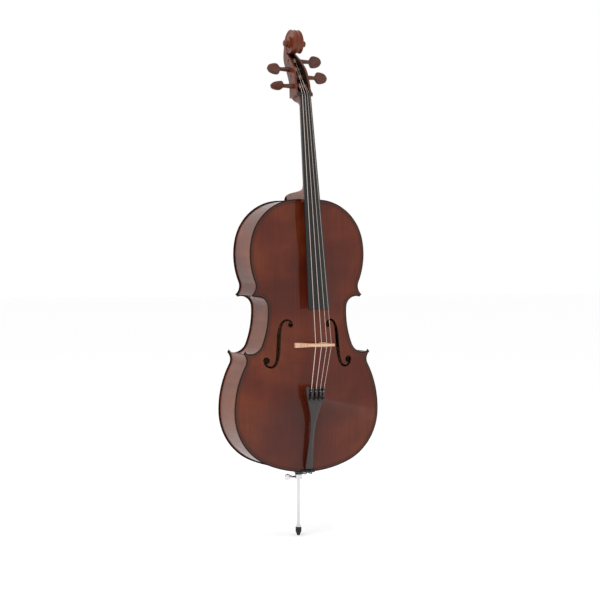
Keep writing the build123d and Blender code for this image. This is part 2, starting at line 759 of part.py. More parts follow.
# ---------------------------------------------------------------- strings
string_parts = {}
for name, radius in zip(STRING_NAMES, STRING_RADIUS):
    with BuildPart() as string:
        with BuildLine():
            path = Polyline(*string_places(name))
        with BuildSketch(Plane(origin=path @ 0, z_dir=path % 0)):
            Circle(radius)
        sweep(transition=Transition.RIGHT)
    string_parts[name] = string.part
    finish(string.part, f"string_{name}")

# ---------------------------------------------------------------- fingerboard and nut
NUT_RISE = 1.8
NUT_HALF_WIDTH = 23.0
NUT_ROUNDING = 2.0


def board_section(place, width):
    fall = sag(BOARD_RADIUS, width / 2)
    under = board_under(place)
    with BuildSketch(neck_plane.offset(place)) as section:
        with BuildLine():
            ThreePointArc((-width / 2, fall), (0, 0), (width / 2, fall))
            Polyline((width / 2, fall), (width / 2, under), (-width / 2, under), (-width / 2, fall))
        make_face()
    return section.sketch


HOLLOW_START = -296.0
with BuildPart() as fingerboard_hollow:
    for place, width, depth in ((HOLLOW_START, 30.0, 0.4), (-BOARD_LENGTH - 1, 50.0, 7.0)):
        with BuildSketch(neck_plane.offset(place)):
            under = board_under(place) + 0.5
            with BuildLine():
                ThreePointArc((-width / 2, under), (0, under - depth - 0.5), (width / 2, under))
                Line((width / 2, under), (-width / 2, under))
            make_face()
    loft(ruled=True)

with BuildPart() as fingerboard:
    board_ends = [board_section(0, BOARD_WIDTH_NUT), board_section(-BOARD_LENGTH, BOARD_WIDTH_END)]
    loft(sections=board_ends, ruled=True)
    add(fingerboard_hollow.part, mode=Mode.SUBTRACT)
finish(fingerboard.part, "fingerboard")

with BuildPart() as nut:
    with BuildSketch(neck_plane):
        with BuildLine():
            side, crown_end = NUT_HALF_WIDTH, NUT_HALF_WIDTH - NUT_ROUNDING
            fall = sag(BOARD_RADIUS, crown_end) - NUT_RISE
            low = fall + NUT_ROUNDING + 0.3
            ThreePointArc((-crown_end, fall), (0, -NUT_RISE), (crown_end, fall))
            ThreePointArc((crown_end, fall), (side - 0.6, fall + 0.9), (side, low))
            ThreePointArc((-crown_end, fall), (0.6 - side, fall + 0.9), (-side, low))
            Polyline((side, low), (side, BOARD_UNDER_NUT), (-side, BOARD_UNDER_NUT), (-side, low))
        make_face()
    extrude(amount=NUT_LENGTH)
    with BuildSketch(neck_side):
        with BuildLine():
            Polyline((-9, NUT_BEND_Z - 6), (-9, 11), (6, 11), (6, NUT_LENGTH), (-3, NUT_BEND_Z + 0.5), close=True)
        make_face()
    extrude(amount=30, both=True, mode=Mode.SUBTRACT)
    for name in STRING_NAMES:
        add(string_parts[name], mode=Mode.SUBTRACT)
finish(nut.part, "nut")

# ---------------------------------------------------------------- bridge
BRIDGE_FRONT_Z = BRIDGE_Z + 3.0
BRIDGE_FOOT_THICKNESS = 13.0
BRIDGE_TOP_THICKNESS = 5.0
# The bass half of the bridge's edge, as (x, y), from the middle of the arch to the top's corner.
BRIDGE_ARCH = [(0, -116), (14, -112), (23, -99), (25.5, -86), (26, -70)]
BRIDGE_SIDE = [(46, -70), (45, -84), (36, -90.5), (34.5, -100), (30, -112), (32, -119), (36.5, -124), (36, -130)]
BRIDGE_EAR = [(29.5, -133), (27.5, -138.5), (31, -142.5), (37.5, -143.5), (39, -152), (36, -163.5)]


def bridge_front():
    """The bridge seen along the strings, with x for X and y for Y."""
    crown = BRIDGE_CROWN_Y + 0.3
    with BuildSketch() as front:
        with BuildLine():
            arch = Spline(*BRIDGE_ARCH, tangents=[(1, 0), (0, 1)])
            foot = Line(arch @ 1, BRIDGE_SIDE[0])
            side = Spline(*BRIDGE_SIDE, *BRIDGE_EAR)
            Spline(BRIDGE_EAR[-1], (20, crown + sag(BRIDGE_RADIUS, 20)), (0, crown), tangents=[(-1, -0.6), (-1, 0)])
            Line((0, crown), arch @ 0)
        make_face()
        mirror(about=Plane.YZ)
    return front.sketch


def bridge_heart():
    with BuildSketch() as heart:
        with BuildLine():
            Spline((0, -126), (5.5, -131), (9.5, -138), (6, -143.5), (0, -140), tangents=[(1, -0.6), (-1, 1.2)])
            Line((0, -140), (0, -126))
        make_face()
        mirror(about=Plane.YZ)
    return heart.sketch


with BuildPart() as bridge:
    with BuildSketch(Plane.XY.offset(BRIDGE_FRONT_Z)):
        add(bridge_front())
        add(bridge_heart(), mode=Mode.SUBTRACT)
    extrude(amount=-BRIDGE_FOOT_THICKNESS)
    with BuildSketch(Plane.YZ):
        with BuildLine():
            low = BRIDGE_FRONT_Z - BRIDGE_FOOT_THICKNESS
            Polyline(
                (-60, low - 10),
                (-60, low),
                (-84, low),
                (BRIDGE_CROWN_Y - 5, BRIDGE_FRONT_Z - BRIDGE_TOP_THICKNESS),
                (BRIDGE_CROWN_Y - 5, low - 10),
                close=True,
            )
        make_face()
    extrude(amount=80, both=True, mode=Mode.SUBTRACT)
    extrude(to_extrude=top_outer, amount=60, dir=(0, 1, 0), mode=Mode.SUBTRACT)
    for name in STRING_NAMES:
        add(string_parts[name], mode=Mode.SUBTRACT)
finish(bridge.part, "bridge")

# ---------------------------------------------------------------- tailpiece and fine tuners
# Along the tailpiece: place, width and thickness.
TAIL_SECTIONS = [
    (0, 20.5, 8.5),
    (25, 20.0, 8.2),
    (60, 15.8, 7.6),
    (100, 13.4, 7.5),
    (120, 14.0, 7.8),
    (140, 18.4, 9.0),
    (160, 25.5, 10.5),
    (185, 38.5, 12.0),
    (205, 49.0, 12.6),
    (TAIL_LENGTH, 59.5, 13.0),
]
SCREW_Z = 204.0
PIVOT_Z, PIVOT_Y = 221.0, 8.5
PIN_RADIUS = 1.5
PIN_HALF_LENGTH = 25.0
SCREW_RADIUS = 1.75
GUT_HALF_SPACING, GUT_DEPTH = 5.5, 4.6  # the tail gut's two holes in the foot
GUT_HOLE_RADIUS = 2.4
KNOB_RADIUS = 4.8
KNOB_HEIGHT = 8.0
KNOB_LIFT = 5.0  # the knob's underside above the crown, so that it can turn down
SLOT_HALF_WIDTH = 3.2
SLOT_START = 209.0
LEVER_HALF_WIDTH = 2.8
SCREW_TIP_Y = 14.2
ARM_GAP = 0.3
ARM_THICKNESS = 3.0
ARM_FACE = SCREW_TIP_Y + ARM_GAP

tail_strings = {name: (i - 1.5) * TAIL_SPACING for i, name in enumerate(STRING_NAMES)}

with BuildPart() as tailpiece:
    for place, width, under in TAIL_SECTIONS:
        fall = sag(TAIL_CROWN_RADIUS, width / 2)
        with BuildSketch(tail_plane.offset(place)):
            with BuildLine():
                ThreePointArc((-width / 2, fall), (0, 0), (width / 2, fall))
                Polyline((width / 2, fall), (width / 2, under), (-width / 2, under), (-width / 2, fall))
            make_face()
    loft(ruled=True)
    for x in tail_strings.values():
        with BuildSketch(tail_plane.offset(SLOT_START)):
            with Locations((x, 5)):
                Rectangle(2 * SLOT_HALF_WIDTH, 40)
        extrude(amount=40, mode=Mode.SUBTRACT)
        with BuildSketch(Plane(origin=on_tail(x, -5, SCREW_Z), x_dir=(1, 0, 0), z_dir=tail_plane.y_dir)):
            Circle(SCREW_RADIUS + FIT)
        extrude(amount=30, mode=Mode.SUBTRACT)
    with BuildSketch(tail_side.offset(-PIN_HALF_LENGTH)):
        with Locations((PIVOT_Y, PIVOT_Z)):
            Circle(PIN_RADIUS)
    extrude(amount=80, mode=Mode.SUBTRACT)
    # holes for the tail gut, along the foot
    for x in (-GUT_HALF_SPACING, GUT_HALF_SPACING):
        with BuildSketch(tail_plane.offset(-1)):
            with Locations((x, GUT_DEPTH)):
                Circle(GUT_HOLE_RADIUS)
        extrude(amount=20, mode=Mode.SUBTRACT)
finish(tailpiece.part, "tailpiece")

with BuildPart() as lever_pin:
    with BuildSketch(tail_side.offset(-PIN_HALF_LENGTH)):
        with Locations((PIVOT_Y, PIVOT_Z)):
            Circle(PIN_RADIUS)
    extrude(amount=2 * PIN_HALF_LENGTH)
finish(lever_pin.part, "lever_pin")

for name, x in tail_strings.items():
    crown = sag(TAIL_CROWN_RADIUS, x)
    hook = crown - HOOK_RISE
    with BuildPart() as lever:
        with BuildSketch(tail_side.offset(x - LEVER_HALF_WIDTH)):
            with BuildLine():
                Polyline(
                    (hook - 2.5, HOOK_Z - 2.5),
                    (hook - 2.5, HOOK_Z + 2.5),
                    (crown + 2, HOOK_Z + 2.5),
                    (PIVOT_Y + 4, PIVOT_Z + 4),
                    (ARM_FACE + ARM_THICKNESS, PIVOT_Z - 3),
                    (ARM_FACE + ARM_THICKNESS, SCREW_Z - 4),
                    (ARM_FACE, SCREW_Z - 4),
                    (ARM_FACE, PIVOT_Z - 7),
                    (PIVOT_Y + 1, PIVOT_Z - 5),
                    (PIVOT_Y - 3, PIVOT_Z - 3),
                    close=True,
                )
            make_face()
            with Locations((PIVOT_Y, PIVOT_Z)):
                Circle(PIN_RADIUS + FIT, mode=Mode.SUBTRACT)
        extrude(amount=2 * LEVER_HALF_WIDTH)
    finish(lever.part, f"tuner_lever_{name}")

    screw_axis = Plane(origin=on_tail(x, 0, SCREW_Z), x_dir=(1, 0, 0), z_dir=tail_plane.y_dir)
    knob_under = crown - KNOB_LIFT
    with BuildPart() as screw:
        with BuildSketch(screw_axis.offset(knob_under - KNOB_HEIGHT + 2)):
            Circle(SCREW_RADIUS)
        extrude(amount=SCREW_TIP_Y - knob_under + KNOB_HEIGHT - 2)
    finish(screw.part, f"tuner_screw_{name}")

    with BuildPart() as knob:
        with BuildSketch(screw_axis.offset(knob_under - KNOB_HEIGHT)):
            Circle(KNOB_RADIUS)
        extrude(amount=KNOB_HEIGHT)
        fillet(knob.edges().group_by(SortBy.LENGTH)[-1], radius=0.8)
        with BuildSketch(screw_axis.offset(knob_under - KNOB_HEIGHT + 2)):
            Circle(SCREW_RADIUS + FIT)
        extrude(amount=KNOB_HEIGHT, mode=Mode.SUBTRACT)
    finish(knob.part, f"tuner_knob_{name}")

# ---------------------------------------------------------------- pegs and windings
CHEEK_REACH = {name: head_half_width(place[1]) for name, place in PEG_PLACES.items()}
PEG_TIP_RISE = 0.8  # past the far cheek
PEG_STEM_RADIUS = 5.5
HEAD_START = {"c": 53.0, "a": 53.0, "g": 49.0, "d": 49.0}  # from the middle of the pegbox
HEAD_LENGTH = 37.0
# The head's half height, from the stem outwards.
HEAD_HALF_HEIGHTS = [
    (0, 5.8),
    (1.5, 9.0),
    (3.5, 13.5),
    (7, 16.6),
    (12, 17.4),
    (18, 16.8),
    (25, 15.0),
    (31, 11.8),
    (35, 7.4),
    (HEAD_LENGTH, 0),
]
HEAD_HALF_THICKNESS = 7.0
HEAD_ANGLE = {"c": -53.0, "g": 20.0, "d": -15.0, "a": 10.0}

for name, (y, z, side) in PEG_PLACES.items():
    axis = Axis((0, y, z), (1, 0, 0))
    cheek = CHEEK_REACH[name]
    start = HEAD_START[name]
    with BuildPart() as peg:
        with BuildSketch(Plane.XZ.offset(-y)):
            with BuildLine():
                tip = -side * (cheek + PEG_TIP_RISE)
                Polyline(
                    (tip, z),
                    (tip, z + shank_radius(name, tip)),
                    (side * (cheek + 4), z + shank_radius(name, side * (cheek + 4))),
                    (side * (start + 3), z + PEG_STEM_RADIUS),
                    (side * (start + 3), z),
                    close=True,
                )
            make_face()
        revolve(axis=axis)
        head_plane = Plane(origin=(0, y, z), x_dir=(side, 0, 0), z_dir=(0, -1, 0))
        head_plane = head_plane.rotated((HEAD_ANGLE[name], 0, 0))
        with BuildSketch(head_plane):
            with BuildLine():
                edge = [(start + place, half_height) for place, half_height in HEAD_HALF_HEIGHTS]
                Spline(*edge, tangents=[(0.3, 1), (0, -1)])
                Line(edge[-1], (start, 0))
                Line((start, 0), edge[0])
            make_face()
            mirror(about=Plane.XZ)
        extrude(amount=HEAD_HALF_THICKNESS - 1.8, both=True)
        with BuildSketch(head_plane):
            with Locations((start + HEAD_LENGTH / 2, 0)):
                Ellipse(13, 11)
        extrude(amount=HEAD_HALF_THICKNESS, both=True)
    finish(peg.part, f"peg_{name}")

    wound = winding_radius(name)
    ring = STRING_RADIUS[STRING_NAMES.index(name)]
    place = WINDING_PLACE[name]
    turns = int(WINDING_LENGTH / (2 * ring))
    with BuildPart() as winding:
        with BuildSketch(Plane.XZ.offset(-y)):
            with Locations((place, z + wound - 1.5 * ring)):
                Rectangle(2 * ring * (turns - 1), 1.2 * ring)
            with Locations(*[(place + 2 * ring * (i - (turns - 1) / 2), z + wound - ring) for i in range(turns)]):
                Circle(ring)
        revolve(axis=axis)
        add(peg_bore(name, 0.02), mode=Mode.SUBTRACT)
    finish(winding.part, f"string_winding_{name}")

# ---------------------------------------------------------------- saddle, endpin and tail gut
with BuildPart() as saddle:
    with BuildSketch(Plane.YZ):
        with BuildLine():
            top = SADDLE_TOP_Z
            Polyline(
                (-RIB_FACE, BODY_BOTTOM),
                (-RIB_FACE, top),
                (-65, top),
                (-70, top - 2),
                (-71.5, top - 5),
                (-70.5, BODY_BOTTOM),
                (-68.5, BODY_BOTTOM - 1),
                (-61, BODY_BOTTOM - 1),
                close=True,
            )
        make_face()
    extrude(amount=SADDLE_HALF_WIDTH, both=True)
finish(saddle.part, "saddle")

ROD_RADIUS = 4.0
ROD_BOTTOM, ROD_TOP = 9.0, 520.0
FERRULE_RADIUS = 11.0
FERRULE_BOTTOM, FERRULE_TOP = 158.5, 172.0
COLLAR_BOTTOM_RADIUS, COLLAR_TOP_RADIUS = 9.5, 15.0
GUT_RADIUS = 1.6
GUT_Z = 180.5

with BuildPart() as endpin_socket:
    with BuildSketch(Plane.XZ):
        with BuildLine():
            Polyline(
                (0, FERRULE_TOP),
                (COLLAR_BOTTOM_RADIUS, FERRULE_TOP),
                (COLLAR_TOP_RADIUS, BODY_BOTTOM + 1),
                (COLLAR_TOP_RADIUS, BODY_BOTTOM + OVERHANG - 0.6),
                (SOCKET_BORE_HALF - 0.2, BODY_BOTTOM + OVERHANG - 0.6),
                (SOCKET_BORE_HALF - 0.2, BODY_BOTTOM + OVERHANG),
                (SOCKET_BORE_END, SOCKET_PLUG_TOP),
                (0, SOCKET_PLUG_TOP),
                close=True,
            )
        make_face()
    revolve(axis=Axis.Z)
    with BuildSketch(Plane.XY):
        Circle(ROD_RADIUS + FIT)
    extrude(amount=400, mode=Mode.SUBTRACT)
finish(endpin_socket.part, "endpin_socket")

THUMBSCREW_Z = (FERRULE_BOTTOM + FERRULE_TOP) / 2
THUMBSCREW_RADIUS = 2.5
THUMBSCREW_START, THUMBSCREW_END = ROD_RADIUS + 0.1, 27.0
WING_LENGTH, WING_HALF_WIDTH, WING_THICKNESS = 15.0, 9.0, 3.0
thumbscrew_axis = Plane(origin=(0, 0, THUMBSCREW_Z), x_dir=(0, 1, 0), z_dir=(-1, 0, 0))

with BuildPart() as ferrule:
    with BuildSketch(Plane.XY.offset(FERRULE_BOTTOM)):
        Circle(FERRULE_RADIUS)
        Circle(ROD_RADIUS + FIT, mode=Mode.SUBTRACT)
    extrude(amount=FERRULE_TOP - FERRULE_BOTTOM)
    with BuildSketch(thumbscrew_axis):
        Circle(THUMBSCREW_RADIUS + FIT)
    extrude(amount=30, mode=Mode.SUBTRACT)
finish(ferrule.part, "endpin_ferrule")

with BuildPart() as thumbscrew:
    with BuildSketch(thumbscrew_axis.offset(THUMBSCREW_START)):
        Circle(THUMBSCREW_RADIUS)
    extrude(amount=THUMBSCREW_END - THUMBSCREW_START)
finish(thumbscrew.part, "thumbscrew")

with BuildPart() as wing:
    with BuildSketch(thumbscrew_axis.offset(THUMBSCREW_END - 6)):
        Circle(4.5)
    extrude(amount=8)
    with BuildSketch(Plane.XZ):
        with Locations((-(THUMBSCREW_END - 1 + WING_LENGTH / 2), THUMBSCREW_Z)):
            Ellipse(WING_LENGTH / 2 + 1.5, WING_HALF_WIDTH)
    extrude(amount=WING_THICKNESS / 2, both=True)
    with BuildSketch(thumbscrew_axis.offset(THUMBSCREW_END)):
        Circle(THUMBSCREW_RADIUS + FIT)
    extrude(amount=-20, mode=Mode.SUBTRACT)
finish(wing.part, "thumbscrew_wing")

with BuildPart() as endpin_rod:
    with BuildSketch(Plane.XY.offset(ROD_BOTTOM + 3)):
        Circle(ROD_RADIUS)
    extrude(amount=ROD_TOP - ROD_BOTTOM - 3)
    chamfer(endpin_rod.faces().sort_by(Axis.Z)[-1].edges(), length=0.8)
    with BuildSketch(Plane.XY.offset(ROD_BOTTOM)):
        Circle(1.2)
    with BuildSketch(Plane.XY.offset(ROD_BOTTOM + 3)):
        Circle(ROD_RADIUS)
    loft()
finish(endpin_rod.part, "endpin_rod")

TIP_RADIUS = 8.25
TIP_TOP = 23.5
TIP_FOOT_RADIUS = 3.0
CONE_TOP = 31.0
with BuildPart() as endpin_cone:
    with BuildSketch(Plane.XY.offset(TIP_TOP)):
        Circle(7.4)
    with BuildSketch(Plane.XY.offset(CONE_TOP)):
        Circle(ROD_RADIUS + 0.8)
    loft()
    with BuildSketch(Plane.XY):
        Circle(ROD_RADIUS)
    extrude(amount=60, mode=Mode.SUBTRACT)
finish(endpin_cone.part, "endpin_cone")

with BuildPart() as rubber_tip:
    with BuildSketch(Plane.XZ):
        with BuildLine():
            Polyline(
                (0, 0),
                (TIP_FOOT_RADIUS, 0),
                (TIP_RADIUS - 1, 9),
                (TIP_RADIUS, 12),
                (TIP_RADIUS, TIP_TOP - 1.2),
                (TIP_RADIUS - 1.2, TIP_TOP),
                (0, TIP_TOP),
                close=True,
            )
        make_face()
    revolve(axis=Axis.Z)
    with BuildSketch(Plane.XY.offset(ROD_BOTTOM - 1)):
        Circle(ROD_RADIUS + FIT)
    extrude(amount=30, mode=Mode.SUBTRACT)
finish(rubber_tip.part, "rubber_tip")

gut_ring = COLLAR_BOTTOM_RADIUS + (COLLAR_TOP_RADIUS - COLLAR_BOTTOM_RADIUS) * 8.5 / 14 + GUT_RADIUS + 0.6
gut_half = [on_tail(GUT_HALF_SPACING, GUT_DEPTH, z) for z in (16, 10, 4, -1)]
gut_half += [(7, -73.5, 189.5), (8, -71.5, 183), (10, -60, GUT_Z)]
gut_half = [Vector(point) for point in gut_half] + [
    Vector(gut_ring * cos(angle), gut_ring * sin(angle), GUT_Z) for angle in (0, pi / 4)
]
gut_path = [
    *gut_half,
    Vector(0, gut_ring, GUT_Z),
    *[Vector(-point.X, point.Y, point.Z) for point in reversed(gut_half)],
]
with BuildPart() as tail_gut:
    with BuildLine():
        strand = Spline(*gut_path)
    with BuildSketch(Plane(origin=strand @ 0, z_dir=strand % 0)):
        Circle(GUT_RADIUS)
    sweep()
finish(tail_gut.part, "tail_gut")
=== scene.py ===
"""The looks of a full-size cello on its endpin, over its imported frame.

Points in this script are in millimetres in the CAD frame, and become metres in mesh_piece.
"""

import json
import math

import bmesh
import bpy
import numpy as np
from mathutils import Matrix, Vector
from mathutils.geometry import delaunay_2d_cdt

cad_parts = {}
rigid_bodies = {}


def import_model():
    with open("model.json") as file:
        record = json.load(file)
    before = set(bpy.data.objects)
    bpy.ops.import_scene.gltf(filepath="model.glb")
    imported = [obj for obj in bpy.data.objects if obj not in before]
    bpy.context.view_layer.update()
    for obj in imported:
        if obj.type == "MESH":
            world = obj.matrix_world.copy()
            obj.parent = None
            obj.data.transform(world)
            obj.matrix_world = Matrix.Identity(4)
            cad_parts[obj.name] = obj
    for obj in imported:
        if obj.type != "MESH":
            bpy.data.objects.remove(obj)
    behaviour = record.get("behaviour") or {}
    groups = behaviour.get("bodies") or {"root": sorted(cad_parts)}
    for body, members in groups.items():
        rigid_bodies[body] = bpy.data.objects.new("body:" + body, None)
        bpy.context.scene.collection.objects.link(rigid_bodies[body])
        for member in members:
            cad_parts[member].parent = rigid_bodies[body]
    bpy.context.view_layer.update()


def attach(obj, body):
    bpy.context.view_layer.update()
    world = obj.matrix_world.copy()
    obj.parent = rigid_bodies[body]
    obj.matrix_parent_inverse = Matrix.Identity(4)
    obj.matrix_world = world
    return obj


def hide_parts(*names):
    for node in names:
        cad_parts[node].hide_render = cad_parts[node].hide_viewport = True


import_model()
scene = bpy.context.scene
MM = 0.001


# ================================ camera
def photograph_camera():
    azimuth, elevation = math.radians(-23.71), math.radians(1.29)
    back = Vector(
        (
            math.sin(azimuth) * math.cos(elevation), -math.cos(azimuth) * math.cos(elevation),
            math.sin(elevation),
        )
    )
    right = Vector((math.cos(azimuth), math.sin(azimuth), 0))
    data = bpy.data.cameras.new("camera")
    data.lens, data.sensor_width = 97.68, 36.0
    camera = bpy.data.objects.new("camera", data)
    scene.collection.objects.link(camera)
    camera.location = Vector((0, 0, 0.6599)) + right * 0.00418 + back * 4.5538
    camera.rotation_mode = "QUATERNION"
    camera.rotation_quaternion = (-back).to_track_quat("-Z", "Y")
    scene.camera = camera


photograph_camera()


# ================================ materials
class Surface:
    """A principled material whose nodes are added one by one."""

    def __init__(self, name, **constants):
        self.material = bpy.data.materials.new(name)
        self.material.use_nodes = True
        self.tree = self.material.node_tree
        self.shader = self.tree.nodes["Principled BSDF"]
        self.set(**constants)
        self.place = self.add("ShaderNodeTexCoord").outputs["Object"]

    def set(self, **constants):
        for name, value in constants.items():
            self.shader.inputs[name.replace("_", " ").title().replace("Ior", "IOR")].default_value = value

    def add(self, kind, **properties):
        node = self.tree.nodes.new(kind)
        for name, value in properties.items():
            setattr(node, name, value)
        return node

    def link(self, output, target):
        self.tree.links.new(output, target)
        return self

    def scaled(self, scale, turn=(0, 0, 0)):
        node = self.add("ShaderNodeMapping")
        node.inputs["Scale"].default_value = scale
        node.inputs["Rotation"].default_value = turn
        self.link(self.place, node.inputs["Vector"])
        return node.outputs["Vector"]

    def noise(self, scale, detail=4.0, roughness=0.5, distortion=0.0, turn=(0, 0, 0)):
        """Noise with its own scale along each axis, in cycles per metre."""
        node = self.add("ShaderNodeTexNoise")
        node.inputs["Scale"].default_value = 1.0
        node.inputs["Detail"].default_value = detail
        node.inputs["Roughness"].default_value = roughness
        node.inputs["Distortion"].default_value = distortion
        self.link(self.scaled(scale, turn), node.inputs["Vector"])
        return node.outputs["Fac"]

    def ramp(self, value, stops):
        node = self.add("ShaderNodeValToRGB")
        elements = node.color_ramp.elements
        while len(elements) < len(stops):
            elements.new(0.5)
        for element, (position, colour) in zip(elements, stops):
            element.position = position
            element.color = (*colour, 1.0)
        self.link(value, node.inputs["Fac"])
        return node.outputs["Color"]

    def span(self, value, low, high, from_low=0.3, from_high=0.7):
        node = self.add("ShaderNodeMapRange")
        for name, number in (
            ("From Min", from_low), ("From Max", from_high), ("To Min", low), ("To Max", high),
        ):
            node.inputs[name].default_value = number
        self.link(value, node.inputs["Value"])
        return node.outputs["Result"]

    def mix(self, factor, one, other, blend="MIX"):
        node = self.add("ShaderNodeMix", data_type="RGBA", blend_type=blend)
        if isinstance(factor, float):
            node.inputs[0].default_value = factor
        else:
            self.link(factor, node.inputs[0])
        for socket, colour in ((node.inputs[6], one), (node.inputs[7], other)):
            if isinstance(colour, tuple):
                socket.default_value = (*colour, 1.0)
            else:
                self.link(colour, socket)
        return node.outputs[2]

    def grey(self, value):
        """A colour whose three parts are all value."""
        node = self.add("ShaderNodeCombineColor")
        for socket in node.inputs[:3]:
            self.link(value, socket)
        return node.outputs["Color"]

    def times(self, one, other):
        return self.mix(1.0, one, other, blend="MULTIPLY")

    def colour(self, output):
        return self.link(output, self.shader.inputs["Base Color"])

    def rough(self, output):
        return self.link(output, self.shader.inputs["Roughness"])

    def bump(self, value, strength, depth):
        node = self.add("ShaderNodeBump")
        node.inputs["Strength"].default_value = strength
        node.inputs["Distance"].default_value = depth
        self.link(value, node.inputs["Height"])
        self.link(node.outputs["Normal"], self.shader.inputs["Normal"])
        return self


def varnish(name, grain_scale, flame_scale, flame_depth, dark, middle, bright, shaded=False):
    """Red-brown gloss varnish over wood: clouds of colour, fine grain, and flames across it.

    shaded darkens it by the mesh's colour layer "shade".
    """
    s = Surface(name, roughness=0.35, specular_ior_level=0.08, coat_weight=0.42, coat_roughness=0.04)
    clouds = s.noise((5.0, 5.0, 4.0), detail=3.0, roughness=0.55, distortion=0.4)
    base = s.ramp(clouds, [(0.3, dark), (0.5, middle), (0.72, bright)])
    grain = s.noise(grain_scale, detail=3.0, roughness=0.6)
    base = s.times(base, s.grey(s.span(grain, 0.8, 1.14)))
    flames = s.noise(flame_scale, detail=2.0, roughness=0.45, distortion=0.6)
    base = s.times(base, s.grey(s.span(flames, 1.0 - flame_depth, 1.0 + flame_depth, 0.35, 0.65)))
    if shaded:
        base = s.times(base, s.add("ShaderNodeVertexColor", layer_name="shade").outputs["Color"])
    s.colour(base)
    s.rough(s.span(grain, 0.3, 0.45))
    return s.bump(grain, 0.04, 0.0002).material


# dark, middle and bright parts of the varnish's clouds
FACE_TONES = ((0.045, 0.0062, 0.0028), (0.074, 0.0108, 0.0036), (0.122, 0.0225, 0.0055))
SIDE_TONES = ((0.060, 0.0105, 0.0042), (0.100, 0.0185, 0.0055), (0.170, 0.040, 0.0085))
spruce_varnish = varnish("spruce_varnish", (520, 30, 5), (8, 8, 30), 0.06, *FACE_TONES, True)
maple_varnish = varnish("maple_varnish", (260, 260, 14), (26, 26, 3.5), 0.16, *FACE_TONES, True)
rib_varnish = varnish("rib_varnish", (40, 14, 260), (60, 3.0, 60), 0.14, *SIDE_TONES)
neck_varnish = varnish("neck_varnish", (300, 300, 10), (20, 20, 70), 0.12, *SIDE_TONES)


def grained(name, stops, grain, rough, bump=None, gloss=None, **constants):
    """A material whose colour, gloss and relief follow one noise, or whose gloss has a noise of its own."""
    s = Surface(name, **constants)
    value = s.noise(**grain)
    s.colour(s.ramp(value, stops))
    s.rough(s.span(s.noise(gloss, detail=2.0) if gloss else value, *rough))
    if bump:
        s.bump(value, *bump)
    return s.material


# A dark varnish for the plates' edges, also laid on the overhang's underside as painted shade.
def dark_rim_varnish_and_shade(name, dark, bright):
    grain = dict(scale=(60, 60, 60), detail=4.0)
    return grained(name, [(0.35, dark), (0.7, bright)], grain, (0.5, 0.65), specular_ior_level=0.1)


back_edge = dark_rim_varnish_and_shade("back_edge_varnish_and_overhang_shade", (0.003, 0.0015, 0.001), (0.008, 0.003, 0.002))
front_edge = dark_rim_varnish_and_shade("front_edge_varnish_and_overhang_shade", (0.014, 0.004, 0.002), (0.030, 0.008, 0.003))


ebony_wood = grained(
    "ebony", [(0.3, (0.004, 0.004, 0.004)), (0.6, (0.010, 0.009, 0.009)), (0.8, (0.020, 0.017, 0.016))],
    dict(scale=(900, 900, 25), detail=4.0, roughness=0.65), (0.3, 0.42), (0.06, 0.0002), (30, 30, 8),
    specular_ior_level=0.38,
)


def bare_wood(name, dark, light, scale, roughness):
    return grained(
        name, [(0.3, dark), (0.55, light), (0.8, dark)],
        dict(scale=scale, detail=5.0, roughness=0.6, distortion=0.3),
        (roughness - 0.08, roughness + 0.08), (0.15, 0.0003), specular_ior_level=0.3,
    )


bridge_maple = bare_wood("bridge_maple", (0.44, 0.235, 0.135), (0.62, 0.39, 0.265), (60, 500, 300), 0.5)
inner_spruce = bare_wood("inner_spruce", (0.48, 0.31, 0.16), (0.66, 0.47, 0.27), (400, 60, 12), 0.7)
inside_wood = bare_wood("inside_wood", (0.42, 0.25, 0.13), (0.62, 0.40, 0.23), (300, 60, 12), 0.75)
# painted shade: the f-holes' walls are dark brown for the shade inside the holes
f_hole_wall_shade = bare_wood("f_hole_wall_shade", (0.022, 0.009, 0.005), (0.040, 0.018, 0.010), (300, 60, 12), 0.6)
# painted shade: near-black inside the pegbox's mortise, a deep recess
mortise_painted_shade = bare_wood("mortise_painted_shade", (0.008, 0.005, 0.004), (0.016, 0.010, 0.007), (300, 60, 12), 0.7)


peg_material = grained(
    "peg_wood",
    [(0.3, (0.035, 0.010, 0.006)), (0.55, (0.075, 0.021, 0.012)), (0.8, (0.12, 0.037, 0.020))],
    dict(scale=(60, 500, 400), detail=4.0, roughness=0.6, distortion=0.4), (0.26, 0.4), (0.05, 0.0002),
    specular_ior_level=0.2, coat_weight=0.3, coat_roughness=0.1,
)


def plastic(name, colour, roughness, bump=0.06):
    return grained(
        name, [(0.3, tuple(c * 0.8 for c in colour)), (0.7, colour)],
        dict(scale=(1500, 1500, 1500), detail=3.0), (roughness - 0.05, roughness + 0.05),
        (bump, 0.0001), (40, 40, 40), specular_ior_level=0.45,
    )


tail_plastic = plastic("tail_plastic", (0.028, 0.019, 0.017), 0.36)
tuner_black = plastic("tuner_black", (0.009, 0.009, 0.010), 0.3)
gut_black = plastic("gut_black", (0.012, 0.012, 0.013), 0.45)
rubber = plastic("rubber", (0.012, 0.012, 0.012), 0.75, 0.25)


def metal(name, colour, roughness, scale=(900, 900, 900), bump=0.04):
    return grained(
        name, [(0.3, tuple(c * 0.85 for c in colour)), (0.7, colour)], dict(scale=scale, detail=3.0),
        (roughness - 0.04, roughness + 0.06), (bump, 0.0001), metallic=1.0,
    )


plated_steel = metal("plated_steel", (0.72, 0.72, 0.74), 0.2)
black_steel = metal("black_steel", (0.06, 0.058, 0.055), 0.35)
rod_steel = metal("rod_steel", (0.66, 0.66, 0.68), 0.22, (300, 300, 20))
string_steel = metal("string_steel", (0.78, 0.65, 0.58), 0.34, (200, 200, 3000), 0.3)


purfling_dark = bare_wood("purfling_dark", (0.006, 0.004, 0.003), (0.012, 0.008, 0.006), (400, 400, 60), 0.4)
purfling_pale = bare_wood("purfling_pale", (0.10, 0.035, 0.015), (0.16, 0.06, 0.025), (400, 400, 60), 0.4)


